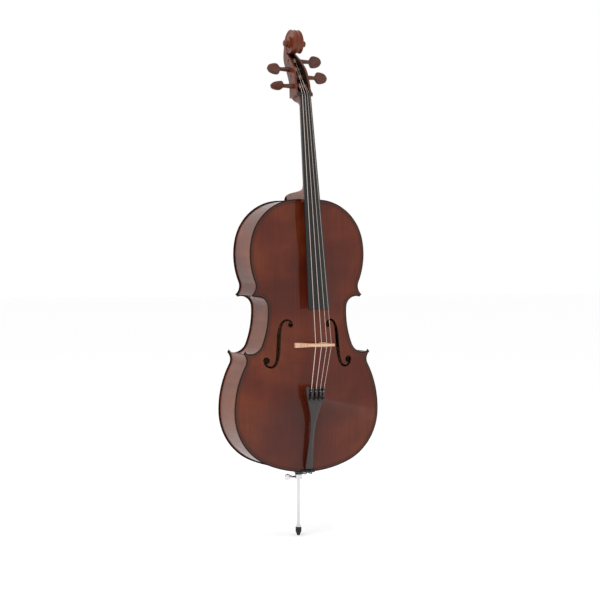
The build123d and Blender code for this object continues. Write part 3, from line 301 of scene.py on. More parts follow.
# ================================ mesh helpers
def clean(mesh):
    """Joins points that coincide and turns the faces outwards."""
    tidy = bmesh.new()
    tidy.from_mesh(mesh)
    bmesh.ops.remove_doubles(tidy, verts=tidy.verts, dist=1e-7)
    bmesh.ops.recalc_face_normals(tidy, faces=tidy.faces)
    tidy.to_mesh(mesh)
    tidy.free()


def mesh_piece(name, points, faces, materials, body, slot, stands_for=(), sharp=40.0, face_materials=None):
    """A smooth-shaded mesh from points in millimetres, riding on a CAD body."""
    mesh = bpy.data.meshes.new(name)
    mesh.from_pydata(
        [tuple(float(v) * MM for v in p) for p in points], [], [tuple(map(int, f)) for f in faces],
    )
    materials = materials if isinstance(materials, (list, tuple)) else [materials]
    for material in materials:
        mesh.materials.append(material)
    if face_materials is not None:
        mesh.polygons.foreach_set("material_index", np.asarray(face_materials, np.int32))
    mesh.update()
    clean(mesh)
    mesh.shade_smooth()
    mesh.set_sharp_from_angle(angle=math.radians(sharp))
    piece = bpy.data.objects.new(name, mesh)
    scene.collection.objects.link(piece)
    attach(piece, body)
    if stands_for:
        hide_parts(*stands_for)
    return piece


def ring_faces(rings, ends=True):
    """Faces over closed rings of equal counts, with or without the two ends."""
    count, faces = len(rings[0]), []
    for i in range(len(rings) - 1):
        a, b = i * count, (i + 1) * count
        for j in range(count):
            k = (j + 1) % count
            faces.append((a + j, a + k, b + k, b + j))
    if ends:
        faces.append(tuple(range(count))[::-1])
        faces.append(tuple((len(rings) - 1) * count + j for j in range(count)))
    return faces


def loft_piece(name, rings, *args, ends=True, **options):
    points = [p for ring in rings for p in ring]
    return mesh_piece(name, points, ring_faces(rings, ends), *args, **options)


def joined(*lofts):
    """The points and faces of several sets of rings."""
    points, faces = [], []
    for rings in lofts:
        faces += [tuple(i + len(points) for i in face) for face in ring_faces(rings)]
        points += [p for ring in rings for p in ring]
    return points, faces


def lathe_rings(profile, origin, axis, sides, lobes=None):
    """Rings of (distance along, radius) turned about an axis.

    lobes, where given, is a factor on the radius that depends on the angle and the distance along.
    """
    origin, axis = Vector(origin), Vector(axis).normalized()
    side = axis.orthogonal().normalized()
    up = axis.cross(side)
    rings = []
    for along, radius in profile:
        ring = []
        for j in range(sides):
            angle = 2 * math.pi * j / sides
            r = radius * (lobes(angle, along) if lobes else 1.0)
            ring.append(origin + axis * along + (side * math.cos(angle) + up * math.sin(angle)) * r)
        rings.append(ring)
    return rings


def tube_rings(path, radius, sides):
    """Rings round a path, carried along it without twisting."""
    path = [Vector(p) for p in path]
    rings, side = [], None
    for i, point in enumerate(path):
        along = (path[min(i + 1, len(path) - 1)] - path[max(i - 1, 0)]).normalized()
        side = along.orthogonal() if side is None else side - along * side.dot(along)
        side.normalize()
        up = along.cross(side)
        angles = [2 * math.pi * j / sides for j in range(sides)]
        rings.append([point + (side * math.cos(a) + up * math.sin(a)) * radius for a in angles])
    return rings


def smooth_path(points, per_span):
    """A Catmull-Rom line through the points."""
    points = [Vector(p) for p in points]
    count = len(points)
    line = []
    for i in range(count - 1):
        b, c = points[i], points[i + 1]
        a = points[i - 1] if i else b * 2 - c
        d = points[i + 2] if i + 2 < count else c * 2 - b
        square, cube = a * 2 - b * 5 + c * 4 - d, b * 3 - a - c * 3 + d
        for k in range(per_span):
            t = k / per_span
            line.append(((b * 2) + (c - a) * t + square * t**2 + cube * t**3) / 2)
    line.append(points[-1])
    return line


def interpolate(stops, t):
    """A smooth value at t from (t, value) stops, values being numbers or tuples."""
    keys = [s[0] for s in stops]
    columns = np.array([np.atleast_1d(np.asarray(s[1], float)) for s in stops])
    t = min(max(t, keys[0]), keys[-1])
    i = min(max(np.searchsorted(keys, t) - 1, 0), len(keys) - 2)
    span = keys[i + 1] - keys[i]
    u = (t - keys[i]) / span

    def slope(k):
        if k == 0:
            return (columns[1] - columns[0]) / (keys[1] - keys[0])
        if k == len(keys) - 1:
            return (columns[-1] - columns[-2]) / (keys[-1] - keys[-2])
        return (columns[k + 1] - columns[k - 1]) / (keys[k + 1] - keys[k - 1])

    value = (2 * u**3 - 3 * u**2 + 1) * columns[i] + (u**3 - 2 * u**2 + u) * span * slope(i)
    value = value + (3 * u**2 - 2 * u**3) * columns[i + 1] + (u**3 - u**2) * span * slope(i + 1)
    return value if len(value) > 1 else float(value[0])


# ================================ the body's outline and arching
BODY_BOTTOM, BODY_LENGTH = 185.0, 755.0
BODY_TOP = BODY_BOTTOM + BODY_LENGTH
RIB_FACE, EDGE_THICKNESS = 59.0, 4.5
OVERHANG, RIB_THICKNESS = 3.6, 1.6
WAIST_X, WAIST_Z = 118.3, BODY_BOTTOM + 446.0
# Tangent arcs as (radius, angle). A positive radius has its centre inside the body.
LOWER_BOUT = [(311.0, 23.0), (156.0, 65.3), (266.0, 30.0), (-26.6, 76.7)]
UPPER_BOUT = [(624.0, 3.8), (138.5, 74.5), (200.5, 34.3), (-29.7, 75.5)]
C_BOUT_UP = [(-131.5, 5.4), (-30.3, 103.9)]
C_BOUT_DOWN = [(-254.7, 21.1), (-39.2, 69.7), (-13.4, 69.5)]


def arc_chain(start, heading, arcs, inset, turn, trim, step=2.0):
    """Points along tangent arcs, moved inwards by inset and cut short by trim at the corner.

    Their number doesn't depend on inset or trim, so two chains can be joined point by point.
    """
    x, z = start
    points = [(x, z)]
    for i, (radius, angle) in enumerate(arcs):
        size = radius - inset if radius > 0 else inset - radius
        bend = turn * math.radians(angle if radius > 0 else -angle)
        if i == len(arcs) - 1:
            bend -= math.copysign(trim / size, bend)
        count = max(3, math.ceil(abs(radius) * math.radians(angle) / step))
        sign = math.copysign(1, bend)
        cx, cz = x - sign * size * math.sin(heading), z + sign * size * math.cos(heading)
        for k in range(1, count + 1):
            h = heading + bend * k / count
            points.append((cx + sign * size * math.sin(h), cz - sign * size * math.cos(h)))
        heading += bend
        x, z = points[-1]
    return points


def lower_bout(inset, trim=0.0):
    return arc_chain((0, BODY_BOTTOM + inset), 0.0, LOWER_BOUT, inset, 1, trim)


def upper_bout(inset, trim=0.0):
    return arc_chain((0, BODY_TOP - inset), 0.0, UPPER_BOUT, inset, -1, trim)


def c_bout(inset, trim=0.0):
    """From the lower corner up to the upper corner."""
    down = arc_chain((WAIST_X - inset, WAIST_Z), -math.pi / 2, C_BOUT_DOWN, inset, -1, trim)
    up = arc_chain((WAIST_X - inset, WAIST_Z), math.pi / 2, C_BOUT_UP, inset, 1, trim)
    return down[::-1] + up[1:]


BUTTON_RADIUS, BUTTON_RISE = 17.0, 1.0


def outline(inset, button=False):
    """The closed outline, moved inwards by a few millimetres at most, anticlockwise from the bottom."""
    right = lower_bout(inset, inset) + c_bout(inset, inset)
    top = upper_bout(inset, inset)[::-1]
    if button and BUTTON_RADIUS > BUTTON_RISE + 2 * inset:
        r = BUTTON_RADIUS - inset
        reach = math.sqrt(r**2 - (BUTTON_RISE + inset) ** 2)
        top = [p for p in top if p[0] > reach + 1.5]
        start = math.atan2(-(BUTTON_RISE + inset), reach)
        for k in range(13):
            angle = start + (math.pi / 2 - start) * k / 12
            top.append((r * math.cos(angle), BODY_TOP + BUTTON_RISE + r * math.sin(angle)))
    right += top
    return right + mirrored(right)


def mirrored(half):
    """The points of a half outline the other way round on the other side, without those on the middle."""
    return [(-x, y) for x, y in reversed(half) if x > 1e-6]


def smooth_step(t):
    t = np.clip(t, 0.0, 1.0)
    return t * t * (3 - 2 * t)


def arch_share(x, z):
    """The arch's height from 0 at the border to 1 at the crown."""
    height = z - BODY_BOTTOM
    half = BODY_LENGTH / 2
    along = np.abs(height - half) / half
    width = 208.0 - 98.0 * smooth_step((height - 190) / 210) + 54.0 * smooth_step((height - 430) / 180)
    across = np.minimum(np.abs(x) / width, 1.0)
    rise = smooth_step(((1 - along) * half - 8.0) / 170.0)
    return (1 - 0.3 * along**2) * rise * (1 + np.cos(np.pi * across)) / 2


def edge_distance(points, loop):
    """Distance from each point to a closed loop of line pieces."""
    a = np.array(loop)
    b = np.roll(a, -1, axis=0)
    d = b - a
    length = np.maximum((d**2).sum(1), 1e-12)
    best = np.full(len(points), 1e9)
    for chunk in np.array_split(np.arange(len(points)), max(1, len(points) // 2000)):
        p = points[chunk][:, None, :]
        t = np.clip(((p - a) * d).sum(2) / length, 0, 1)
        near = a + t[..., None] * d
        best[chunk] = np.sqrt(((p - near) ** 2).sum(2)).min(1)
    return best


def in_loop(points, loop):
    """Whether each point is inside a closed loop."""
    a = np.array(loop)
    b = np.roll(a, -1, axis=0)
    inside = np.zeros(len(points), bool)
    for (x0, z0), (x1, z1) in zip(a, b):
        crosses = (z0 > points[:, 1]) != (z1 > points[:, 1])
        if z1 != z0:
            inside ^= crosses & (points[:, 0] < (x1 - x0) * (points[:, 1] - z0) / (z1 - z0) + x0)
    return inside


def sheet(loops, free, border, holes):
    """Points and triangles of a flat sheet with free points in it, inside the border and off the holes."""
    points, edges = [], []
    for loop in loops:
        first = len(points)
        points += loop
        edges += [(first + i, first + (i + 1) % len(loop)) for i in range(len(loop))]
    points += [tuple(p) for p in free]
    flat, _, triangles, _, _, _ = delaunay_2d_cdt([Vector(p) for p in points], edges, [], 0, 1e-5)
    flat = np.array([(v.x, v.y) for v in flat])
    triangles = np.array(triangles)
    centres = flat[triangles].mean(1)
    keep = in_loop(centres, border)
    for hole in holes:
        keep &= ~in_loop(centres, hole)
    triangles = triangles[keep]
    used = np.unique(triangles)
    renumber = np.full(len(flat), -1)
    renumber[used] = np.arange(len(used))
    return flat[used], renumber[triangles]


def two_sheets(triangles, count):
    """The faces of a sheet and of its copy count points on, which is turned over."""
    return [tuple(t) for t in triangles] + [tuple(t[::-1] + count) for t in triangles]


def rim(triangles):
    """The edges that only one triangle has."""
    uses = {}
    for t in triangles:
        for a, b in ((t[0], t[1]), (t[1], t[2]), (t[2], t[0])):
            uses.setdefault((min(a, b), max(a, b)), []).append((a, b))
    return [use[0] for use in uses.values() if len(use) == 1]


EDGE_ROUND = 2.2
FLUTE_DEPTH, FLUTE_PLACE, FLUTE_SPREAD = 0.5, 10.0, 4.0
TOP_RISE, BACK_RISE = 20.5, 21.5


def outer_height(distance, x, z, rise):
    """How far a plate's outer face stands off the middle of the body."""
    cap = np.sqrt(EDGE_ROUND**2 - (EDGE_ROUND - np.clip(distance, 0, EDGE_ROUND)) ** 2)
    flute = FLUTE_DEPTH * np.exp(-(((distance - FLUTE_PLACE) / FLUTE_SPREAD) ** 2)) * smooth_step(
        distance / 6 - 0.3
    )
    return RIB_FACE + EDGE_THICKNESS / 2 + cap - flute + rise * arch_share(x, z)


def inner_height(distance, x, z, rise):
    cap = np.sqrt(EDGE_ROUND**2 - (EDGE_ROUND - np.clip(distance, 0, EDGE_ROUND)) ** 2)
    flat = RIB_FACE + EDGE_THICKNESS / 2 - cap
    return np.maximum(flat, RIB_FACE - 2.0 + (rise + 1.0) * arch_share(x, z))


# ================================ f-holes
F_EYES = [((56.0, 408.0), 7.0), ((123.5, 311.0), 9.5)]
# The slot between the eyes, as (x, height above the body's bottom, half width).
F_SLOT = [
    (52.0, 414.0, 2.2), (59.0, 420.0, 2.4), (67.5, 421.3, 2.7), (76.5, 416.0, 3.3), (83.5, 402.0, 4.4),
    (87.0, 381.0, 5.5), (88.7, 357.0, 5.8), (90.3, 334.0, 5.6), (94.0, 312.0, 4.8), (100.5, 298.0, 3.7),
    (110.5, 292.3, 3.0), (121.5, 295.5, 2.9), (129.5, 304.0, 3.2),
]


def f_hole_loops(side):
    line = smooth_path([(x, h + BODY_BOTTOM, w) for x, h, w in F_SLOT], 6)
    left, right = [], []
    for i, p in enumerate(line):
        ahead, behind = line[min(i + 1, len(line) - 1)], line[max(i - 1, 0)]
        along = Vector((ahead.x - behind.x, ahead.y - behind.y)).normalized()
        across = Vector((-along.y, along.x)) * p.z
        left.append((side * (p.x + across.x), p.y + across.y))
        right.append((side * (p.x - across.x), p.y - across.y))
    loops = [left + right[::-1]]
    for (x, h), r in F_EYES:
        loops.append(
            [
                (side * (x + r * math.cos(a)), BODY_BOTTOM + h + r * math.sin(a))
                for a in np.linspace(0, 2 * math.pi, 40, endpoint=False)
            ]
        )
    return loops


# ================================ plates
GRID_STEP = 6.0
ROUND_INSETS = (0.0, 0.3, 0.8, 1.5, 2.3)
BORDER_INSETS = (3.4, 5.0, 7.0, 9.0, 11.0, 13.0, 15.5, 18.5)
SHADE_AT_EDGE, SHADE_REACH = 0.3, 13.0  # the varnish darkens at a plate's edge, and this far in


def plate(name, side, rise, holes, button, stands_for, slot, outer_material, edge_and_overhang_shade_material):
    border = outline(0.0, button)
    loops = [outline(inset, button) for inset in ROUND_INSETS]
    extra = []
    for inset in BORDER_INSETS:
        ring = np.array(outline(inset, button))
        extra.append(ring[np.abs(edge_distance(ring, border) - inset) < 0.1])
    grid = np.array(
        [
            (x, z)
            for x in np.arange(-216.0, 217.0, GRID_STEP)
            for z in np.arange(BODY_BOTTOM + 2, BODY_TOP + 18, GRID_STEP)
        ]
    )
    grid = grid[in_loop(grid, border)]
    far = edge_distance(grid, border)
    extra.append(grid[(far > BORDER_INSETS[-1] + 2.5)])
    free = np.vstack(extra)
    for hole in holes:
        free = free[edge_distance(free, hole) > 1.2]
    flat, triangles = sheet(loops + holes, free, border, holes)
    distance = edge_distance(flat, border)
    x, z = flat[:, 0], flat[:, 1]
    outer = np.column_stack([x, side * outer_height(distance, x, z, rise), z])
    inner = np.column_stack([x, side * inner_height(distance, x, z, rise), z])
    count = len(flat)
    faces = two_sheets(triangles, count)
    kinds = [0] * len(triangles) + [1] * len(triangles)
    # the f-holes' walls take a dark brown that paints the shade inside the holes
    for a, b in rim(triangles):
        if distance[[a, b]].max() > 0.5:
            faces.append((b, a, a + count, b + count))
            kinds.append(3)
    # the rounded edge is darker than the face; the inner face within 5.2 mm of the border, the overhang's
    # underside, takes the same dark material, partly the edge's own colour and partly painted shade under
    # the overhang
    for i in np.nonzero(distance[triangles].max(1) < 2.6)[0]:
        kinds[i] = 2
    for i in np.nonzero(distance[triangles].max(1) < 5.2)[0]:
        kinds[len(triangles) + i] = 2
    piece = mesh_piece(
        name, np.vstack([outer, inner]), faces, [outer_material, inside_wood, edge_and_overhang_shade_material, f_hole_wall_shade],
        "instrument", slot, stands_for, face_materials=kinds,
    )
    shade_border(piece, border)


def shade_border(piece, border):
    """Writes the colour layer that darkens a plate's varnish towards its edge."""
    mesh = piece.data
    places = np.empty(len(mesh.vertices) * 3)
    mesh.vertices.foreach_get("co", places)
    distance = edge_distance(places.reshape(-1, 3)[:, (0, 2)] / MM, border)
    tone = SHADE_AT_EDGE + (1 - SHADE_AT_EDGE) * smooth_step((distance - 2.0) / SHADE_REACH)
    layer = mesh.color_attributes.new("shade", "FLOAT_COLOR", "POINT")
    layer.data.foreach_set("color", np.column_stack([tone, tone, tone, np.ones_like(tone)]).ravel())


def purfling(name, side, rise, button, stands_for):
    """Three thin strips, dark, pale and dark, let into a plate beside its edge."""
    border = outline(0.0, button)
    lines = (5.0, 5.4, 5.9, 6.3)
    points, faces, kinds = [], [], []
    for bout in (lower_bout, upper_bout, c_bout):
        for mirror in (1, -1):
            tracks = [np.array(bout(inset, 7.5)) for inset in lines]
            for band in range(3):
                first = len(points)
                one, other = tracks[band], tracks[band + 1]
                for track in (one, other):
                    height = outer_height(edge_distance(track, border), track[:, 0], track[:, 1], rise)
                    points += [(mirror * p[0], side * (h + 0.04), p[1]) for p, h in zip(track, height)]
                count = len(one)
                for i in range(count - 1):
                    faces.append((first + i, first + i + 1, first + count + i + 1, first + count + i))
                    kinds.append(1 if band == 1 else 0)
    return mesh_piece(
        name, points, faces, [purfling_dark, purfling_pale], "instrument", "purfling", stands_for,
        face_materials=kinds,
    )


plate(
    "belly", -1, TOP_RISE, f_hole_loops(1) + f_hole_loops(-1), False, ["top_plate"], "spruce_varnished",
    spruce_varnish, front_edge,
)
plate("back", 1, BACK_RISE, [], True, ["back_plate"], "maple_varnished", maple_varnish, back_edge)
purfling("belly_purfling", -1, TOP_RISE, False, ["top_purfling"])
purfling("back_purfling_strips", 1, BACK_RISE, False, ["back_purfling"])


# ================================ ribs
def rib(name, bout, mirror, trim, stands_for):
    """A bent strip between the plates, with its long edges let 0.5 mm into them."""
    outer, inner = bout(OVERHANG, trim), bout(OVERHANG + RIB_THICKNESS, trim)
    reach = RIB_FACE + 0.3
    rings = []
    for (x0, z0), (x1, z1) in zip(outer, inner):
        rings.append(
            [
                (mirror * x0, -reach, z0), *[(mirror * x0, y, z0) for y in (-30, 0, 30)],
                (mirror * x0, reach, z0), (mirror * x1, reach, z1), (mirror * x1, -reach, z1),
            ]
        )
    return loft_piece(name, rings, [rib_varnish], "instrument", "maple_varnished", stands_for)


for side_name, mirror in (("treble", 1), ("bass", -1)):
    rib(f"lower_rib_{side_name}", lower_bout, mirror, 5.0, [f"rib_lower_{side_name}"])
    rib(f"waist_rib_{side_name}", c_bout, mirror, 6.5, [f"rib_c_{side_name}"])
    rib(f"upper_rib_{side_name}", upper_bout, mirror, 5.0, [f"rib_upper_{side_name}"])


# ================================ neck, pegbox and scroll
BOARD_LENGTH, BOARD_RADIUS = 596.0, 65.0
NECK_TILT = math.asin(97.1 / BOARD_LENGTH)
NECK_ORIGIN = Vector((0, -52.0, 1226.0))
NECK_BACK = Vector((0, math.cos(NECK_TILT), -math.sin(NECK_TILT)))
NECK_UP = Vector((0, math.sin(NECK_TILT), math.cos(NECK_TILT)))


def on_neck(x, y, z):
    """A point from across, back through and up along the neck, from the board's crown at the nut."""
    return NECK_ORIGIN + Vector((x, 0, 0)) + NECK_BACK * y + NECK_UP * z


def board_under(z):
    return 9.0 - 5.0 * z / BOARD_LENGTH


def neck_front(z):
    p = on_neck(0, board_under(z), z)
    return p.y, p.z


def handle_back(z):
    p = on_neck(0, board_under(z) + 21.0 + 3.0 * (-20 - z) / 276, z)
    return p.y, p.z


def handle_width(z):
    return 15.5 + 6.25 * (-20 - z) / 276


# Sections of the heel: z along the neck, back (y, z), half widths in front and at the back, squareness
# and corner radius.
HEEL_STATIONS = [
    (-298, (59.0, 927.0), 20.4, 13.0, 1.0, 2.0), (-296, (59.0, 942.0), 20.4, 13.0, 1.0, 2.5),
    (-294, (58.5, 951.0), 20.4, 13.0, 1.0, 3.5), (-291, (53.0, 955.6), 20.4, 13.2, 0.95, 4.5),
    (-288, (40.0, 958.8), 20.4, 13.5, 0.9, 5.0), (-284, (18.0, 960.6), 20.4, 14.5, 0.8, 5.5),
    (-278, (-6.0, 962.2), 20.4, 16.0, 0.65, 6.0), (-271, (-28.0, 964.0), 20.4, 17.8, 0.45, 6.0),
    (-263, (-45.0, 967.2), 20.4, 19.0, 0.25, 6.0), (-253, (-54.5, 974.0), 20.4, 20.0, 0.1, 6.0),
    (-242, (-57.3, 984.0), 20.5, 20.5, 0.0, 6.0),
]
# The handle's sections, by z along the neck.
HANDLE_STATIONS = [-225, -190, -150, -110, -70, -40]
# Sections of the chin: z along the neck, back (y, z), half width, squareness, corner radius and flute depth.
CHIN_STATIONS = [
    (-26, (-26.4, 1195.4), 15.6, 0.0, 6.0, 0.0), (-20, (-19.0, 1203.2), 15.8, 0.15, 6.0, 0.1),
    (-14, (-11.5, 1207.0), 16.0, 0.3, 6.0, 0.3), (-8, (-3.5, 1209.6), 16.1, 0.5, 5.5, 0.6),
    (-3, (3.5, 1213.0), 16.2, 0.7, 5.0, 1.0), (1.5, (8.0, 1217.2), 16.4, 0.9, 4.0, 1.4),
]
# Sections of the pegbox: front (y, z), back (y, z), half width and mortise depth. The first two make the
# shoulders.
PEGBOX_STATIONS = [
    ((-42.5, 1228.0), (9.8, 1221.3), 16.4, 0.0), ((-42.4, 1228.6), (10.0, 1222.3), 23.6, 0.0),
    ((-41.5, 1234.4), (10.3, 1231.6), 23.6, 0.0), ((-40.9, 1235.3), (10.4, 1232.8), 23.6, 43.0),
    ((-31.5, 1246.0), (11.2, 1246.5), 23.5, 36.0), ((-28.6, 1258.4), (13.5, 1259.5), 23.1, 35.0),
    ((-23.5, 1274.0), (22.0, 1275.0), 22.1, 38.0), ((-17.7, 1290.0), (34.0, 1290.5), 20.7, 43.0),
    ((-8.7, 1305.8), (48.0, 1306.5), 19.0, 48.0), ((6.7, 1320.0), (60.5, 1320.0), 17.4, 45.0),
    ((17.7, 1330.5), (67.5, 1330.0), 16.5, 41.0), ((35.0, 1342.0), (74.0, 1342.5), 15.2, 30.0),
    ((44.0, 1347.5), (75.5, 1349.5), 14.4, 18.0), ((48.5, 1350.5), (75.9, 1353.5), 14.1, 0.0),
    ((52.3, 1353.8), (76.1, 1357.5), 13.8, 0.0), ((52.3, 1358.5), (76.1, 1362.5), 13.4, 0.0),
    ((52.4, 1365.0), (75.9, 1368.5), 12.9, 0.0),
]
# The scroll turns about a centre (y, z), with its radii and half widths by the angle in degrees.
SCROLL_CENTRE = (30.0, 1378.0)
SCROLL_RADII = [
    (0, 45.5), (45, 41.5), (90, 39.0), (135, 35.8), (180, 33.0), (225, 30.4), (270, 27.5), (315, 25.0),
    (360, 22.5), (450, 19.0), (540, 16.0), (630, 13.0), (720, 10.5), (1080, 3.0),
]
SCROLL_WIDTHS = [
    (0, 12.6), (90, 12.6), (180, 15.5), (270, 17.5), (360, 18.5), (450, 20.5), (540, 22.5), (720, 25.0),
]
CHEEK_WALL = 6.0
MORTISE = 9  # the mortise's column in a station
INNER_POINTS = 12  # a ring's points inside the mortise
SIDE_STEPS, CORNER_STEPS, BACK_STEPS = 8, 5, 10


def neck_station(front, back, wide, narrow, square, corner, flute, mortise, hollow):
    """A section's row; hollow is how far the cheeks are hollowed."""
    return (*front, *back, wide, narrow, square, corner, flute, mortise, hollow)


def neck_stations():
    rows = []
    for z, back, wide, narrow, square, corner in HEEL_STATIONS:
        rows.append(neck_station(neck_front(z), back, wide, narrow, square, corner, 0, 0, 0))
    for z in HANDLE_STATIONS:
        width = handle_width(z)
        rows.append(neck_station(neck_front(z), handle_back(z), width, width, 0, 6, 0, 0, 0))
    for z, back, width, square, corner, flute in CHIN_STATIONS:
        front = neck_front(z) if z < 0 else tuple(on_neck(0, 9.0, z))[1:]
        rows.append(neck_station(front, back, width, width, square, corner, flute, 0, 0))
    for front, back, width, mortise in PEGBOX_STATIONS:
        rows.append(neck_station(front, back, width, width, 1, 1.8, 2.2, mortise, 0))
    for angle in range(0, 721, 15):
        radius, inner = interpolate(SCROLL_RADII, angle), interpolate(SCROLL_RADII, angle + 360)
        width = interpolate(SCROLL_WIDTHS, angle)
        turn = (math.cos(math.radians(angle)), math.sin(math.radians(angle)))
        front = tuple(c + inner * t for c, t in zip(SCROLL_CENTRE, turn))
        back = tuple(c + radius * t for c, t in zip(SCROLL_CENTRE, turn))
        flute = 2.2 * (1 - float(smooth_step((angle - 230) / 80)))
        hollow = 1.9 * float(smooth_step((angle + 10) / 60))
        rows.append(neck_station(front, back, width, width, 1, 1.5, flute, 0, hollow))
    return rows


def neck_ring(row):
    """A ring round one section, from its front on the bass side, round the back and along the front."""
    fy, fz, by, bz, wide, narrow, square, corner, flute, mortise, hollow = row
    reach = math.hypot(by - fy, bz - fz)
    uy, uz = (by - fy) / reach, (bz - fz) / reach
    corner = min(corner, reach * 0.45, wide * 0.6)
    half = []  # (x, depth) from the front to the middle of the back
    for k in range(SIDE_STEPS):
        share = k / SIDE_STEPS
        angle = math.radians(52 * share)
        depth = share * (reach - corner)
        width = wide - hollow * math.sin(math.pi * min(1.0, depth / (reach - corner))) ** 0.8
        half.append((width, depth, angle))
    for k in range(CORNER_STEPS):
        share = k / CORNER_STEPS
        turn = math.pi / 2 * share
        angle = math.radians(52 + 12 * share)
        half.append(
            (wide - corner + corner * math.cos(turn), reach - corner + corner * math.sin(turn), angle)
        )
    for k in range(BACK_STEPS + 1):
        share = k / BACK_STEPS
        x = (wide - corner) * (1 - share)
        dip = flute * math.sin(math.pi * (1 - share)) ** 2
        half.append((x, reach - dip, math.radians(64 + 26 * share)))
    points = []
    for x, depth, angle in half:
        round_x, round_depth = wide * math.cos(angle), reach * math.sin(angle)
        x = square * x + (1 - square) * round_x
        depth = square * depth + (1 - square) * round_depth
        x *= 1 + (narrow / wide - 1) * depth / reach
        points.append((x, depth))
    outer = [(-x, d) for x, d in points] + points[-2::-1]
    mortise = max(0.0, mortise)
    lip = wide - CHEEK_WALL
    inner = [(lip, 0.0), (lip, mortise * 0.35), (lip, mortise * 0.7), (lip, max(0.0, mortise - 2.5))]
    inner += [(lip - min(2.5, mortise), mortise), (lip * 0.4, mortise)]
    inner += mirrored(inner)
    return [(x, fy + uy * d, fz + uz * d) for x, d in outer + inner]


def between_stations(rows, t):
    """A station at t: smooth along the neck, but straight for the widths and over the shoulders."""
    i = min(int(t), len(rows) - 2)
    row = rows[i] + (rows[i + 1] - rows[i]) * (t - i)
    if math.dist(rows[i][:2], rows[i + 1][:2]) > 1.3:
        row[:4] = interpolate(list(enumerate(rows)), t)[:4]
    return row


def neck():
    rows = np.array(neck_stations())
    stations = [between_stations(rows, i / 3) for i in range(3 * (len(rows) - 1) + 1)]
    rings = [neck_ring(station) for station in stations]
    points = [p for ring in rings for p in ring]
    faces = ring_faces(rings)
    kinds = [0] * len(faces)
    count = len(rings[0])
    # the faces inside the mortise are near-black, painted shade in the deep recess
    for i, (one, other) in enumerate(zip(stations, stations[1:])):
        if min(one[MORTISE], other[MORTISE]) > 1:
            kinds[i * count + count - INNER_POINTS : i * count + count - 1] = [1] * (INNER_POINTS - 1)
    mesh_piece(
        "neck_pegbox_scroll", points, faces, [neck_varnish, mortise_painted_shade], "instrument",
        "maple_varnished", ["neck_and_scroll"], sharp=35, face_materials=kinds,
    )
    for side_name, side in (("treble", 1), ("bass", -1)):
        profile = [(22, 8.6), (30.2, 8.6), (31.4, 8.2), (32.2, 7.0), (32.7, 4.0), (32.8, 0.01)]
        rings = lathe_rings(profile, (0, *SCROLL_CENTRE), (side, 0, 0), 40)
        loft_piece(f"scroll_eye_{side_name}", rings, neck_varnish, "instrument", "maple_varnished", sharp=50)


neck()


# ================================ fingerboard, nut and saddle
def sag(radius, x):
    return radius - math.sqrt(radius**2 - x**2)


def fingerboard():
    rings = []
    for z in np.concatenate([[0, -1.5], np.linspace(-20, -576, 28), [-590, -594.4, -595.6, -596]]):
        share = -z / BOARD_LENGTH
        drop = 0.6 if z in (0.0, -596.0) else 0.0
        half = 16.0 + 15.0 * share - drop
        under = board_under(z)
        edge = 1.3
        top = [(x, sag(BOARD_RADIUS, x) + drop) for x in np.linspace(-half + edge, half - edge, 25)]
        side = sag(BOARD_RADIUS, half - edge)
        corner = [
            (half - edge + edge * math.sin(a), side + edge - edge * math.cos(a))
            for a in (0.5, 1.0, math.pi / 2)
        ]
        hollow = max(0.0, (-z - 296.0) / 300.0)
        hollow_half = 15.0 + 10.0 * hollow
        hollow_depth = (0.4 + 6.6 * hollow) if z < -296 else 0.0
        base = [
            (x, under - hollow_depth * (1 - (x / hollow_half) ** 2))
            for x in np.linspace(hollow_half, -hollow_half, 13)
        ]
        ring = top + corner + [(half, under - 0.6), (half - 0.6, under)] + base
        ring += [(-half + 0.6, under), (-half, under - 0.6)] + mirrored(corner)
        rings.append([on_neck(x, y, float(z)) for x, y in ring])
    loft_piece("fingerboard_ebony", rings, ebony_wood, "instrument", "ebony", ["fingerboard"], sharp=50)


fingerboard()


def nut():
    rings = []
    for z in (0.0, 0.6, 2.0, 3.6, 4.8, 6.5, 8.2, 9.4, 10.0):
        soft = 0.5 if z in (0.0, 10.0) else 0.0
        half = 23.0 - soft
        ring = []
        for x in np.linspace(-half, half, 49):
            over = max(0.0, abs(x) - (half - 2.4))
            corner = 2.4 - math.sqrt(max(0.0, 2.4**2 - over**2))
            ring.append((x, max(sag(BOARD_RADIUS, x) - 1.8 + corner + soft, -3 + (z - 4) * 1.5)))
        rings.append([on_neck(x, y, z) for x, y in ring + [(half, 9.0), (-half, 9.0)]])
    loft_piece("nut_ebony", rings, ebony_wood, "instrument", "ebony", ["nut"], sharp=50)


nut()


def saddle():
    profile = [
        (-59.2, 185.0), (-59.2, 193.0), (-64.5, 193.0), (-67.0, 192.5), (-69.4, 191.4), (-71.0, 189.6),
        (-71.4, 187.6), (-70.6, 185.6), (-69.3, 184.4), (-67.5, 184.0), (-61.0, 184.0),
    ]
    middle = Vector((-63.0, 188.0))
    rings = []
    for x, size in ((-19, 0.86), (-18.6, 0.95), (-17.6, 1.0), (17.6, 1.0), (18.6, 0.95), (19, 0.86)):
        rings.append(
            [(x, middle.x + (y - middle.x) * size, middle.y + (z - middle.y) * size) for y, z in profile]
        )
    loft_piece("saddle_ebony", rings, ebony_wood, "instrument", "ebony", ["saddle"], sharp=60)


saddle()


# ================================ bridge
BRIDGE_ARCH = [(0, -116), (14, -112), (23, -99), (25.5, -86), (26, -70)]
BRIDGE_SIDE = [
    (46, -70), (45, -84), (36, -90.5), (34.5, -100), (30, -112), (32, -119), (36.5, -124), (36, -130),
]
BRIDGE_EAR = [(29.5, -133), (27.5, -138.5), (31, -142.5), (37.5, -143.5), (39, -152), (36, -163.5)]
BRIDGE_HEART = [(0, -126), (5.5, -131), (9.5, -138), (6, -143.5), (0, -140)]
BRIDGE_Z, BRIDGE_CROWN_Y, BRIDGE_RADIUS = 541.0, -174.0, 60.0
BRIDGE_FRONT = BRIDGE_Z + 3.0


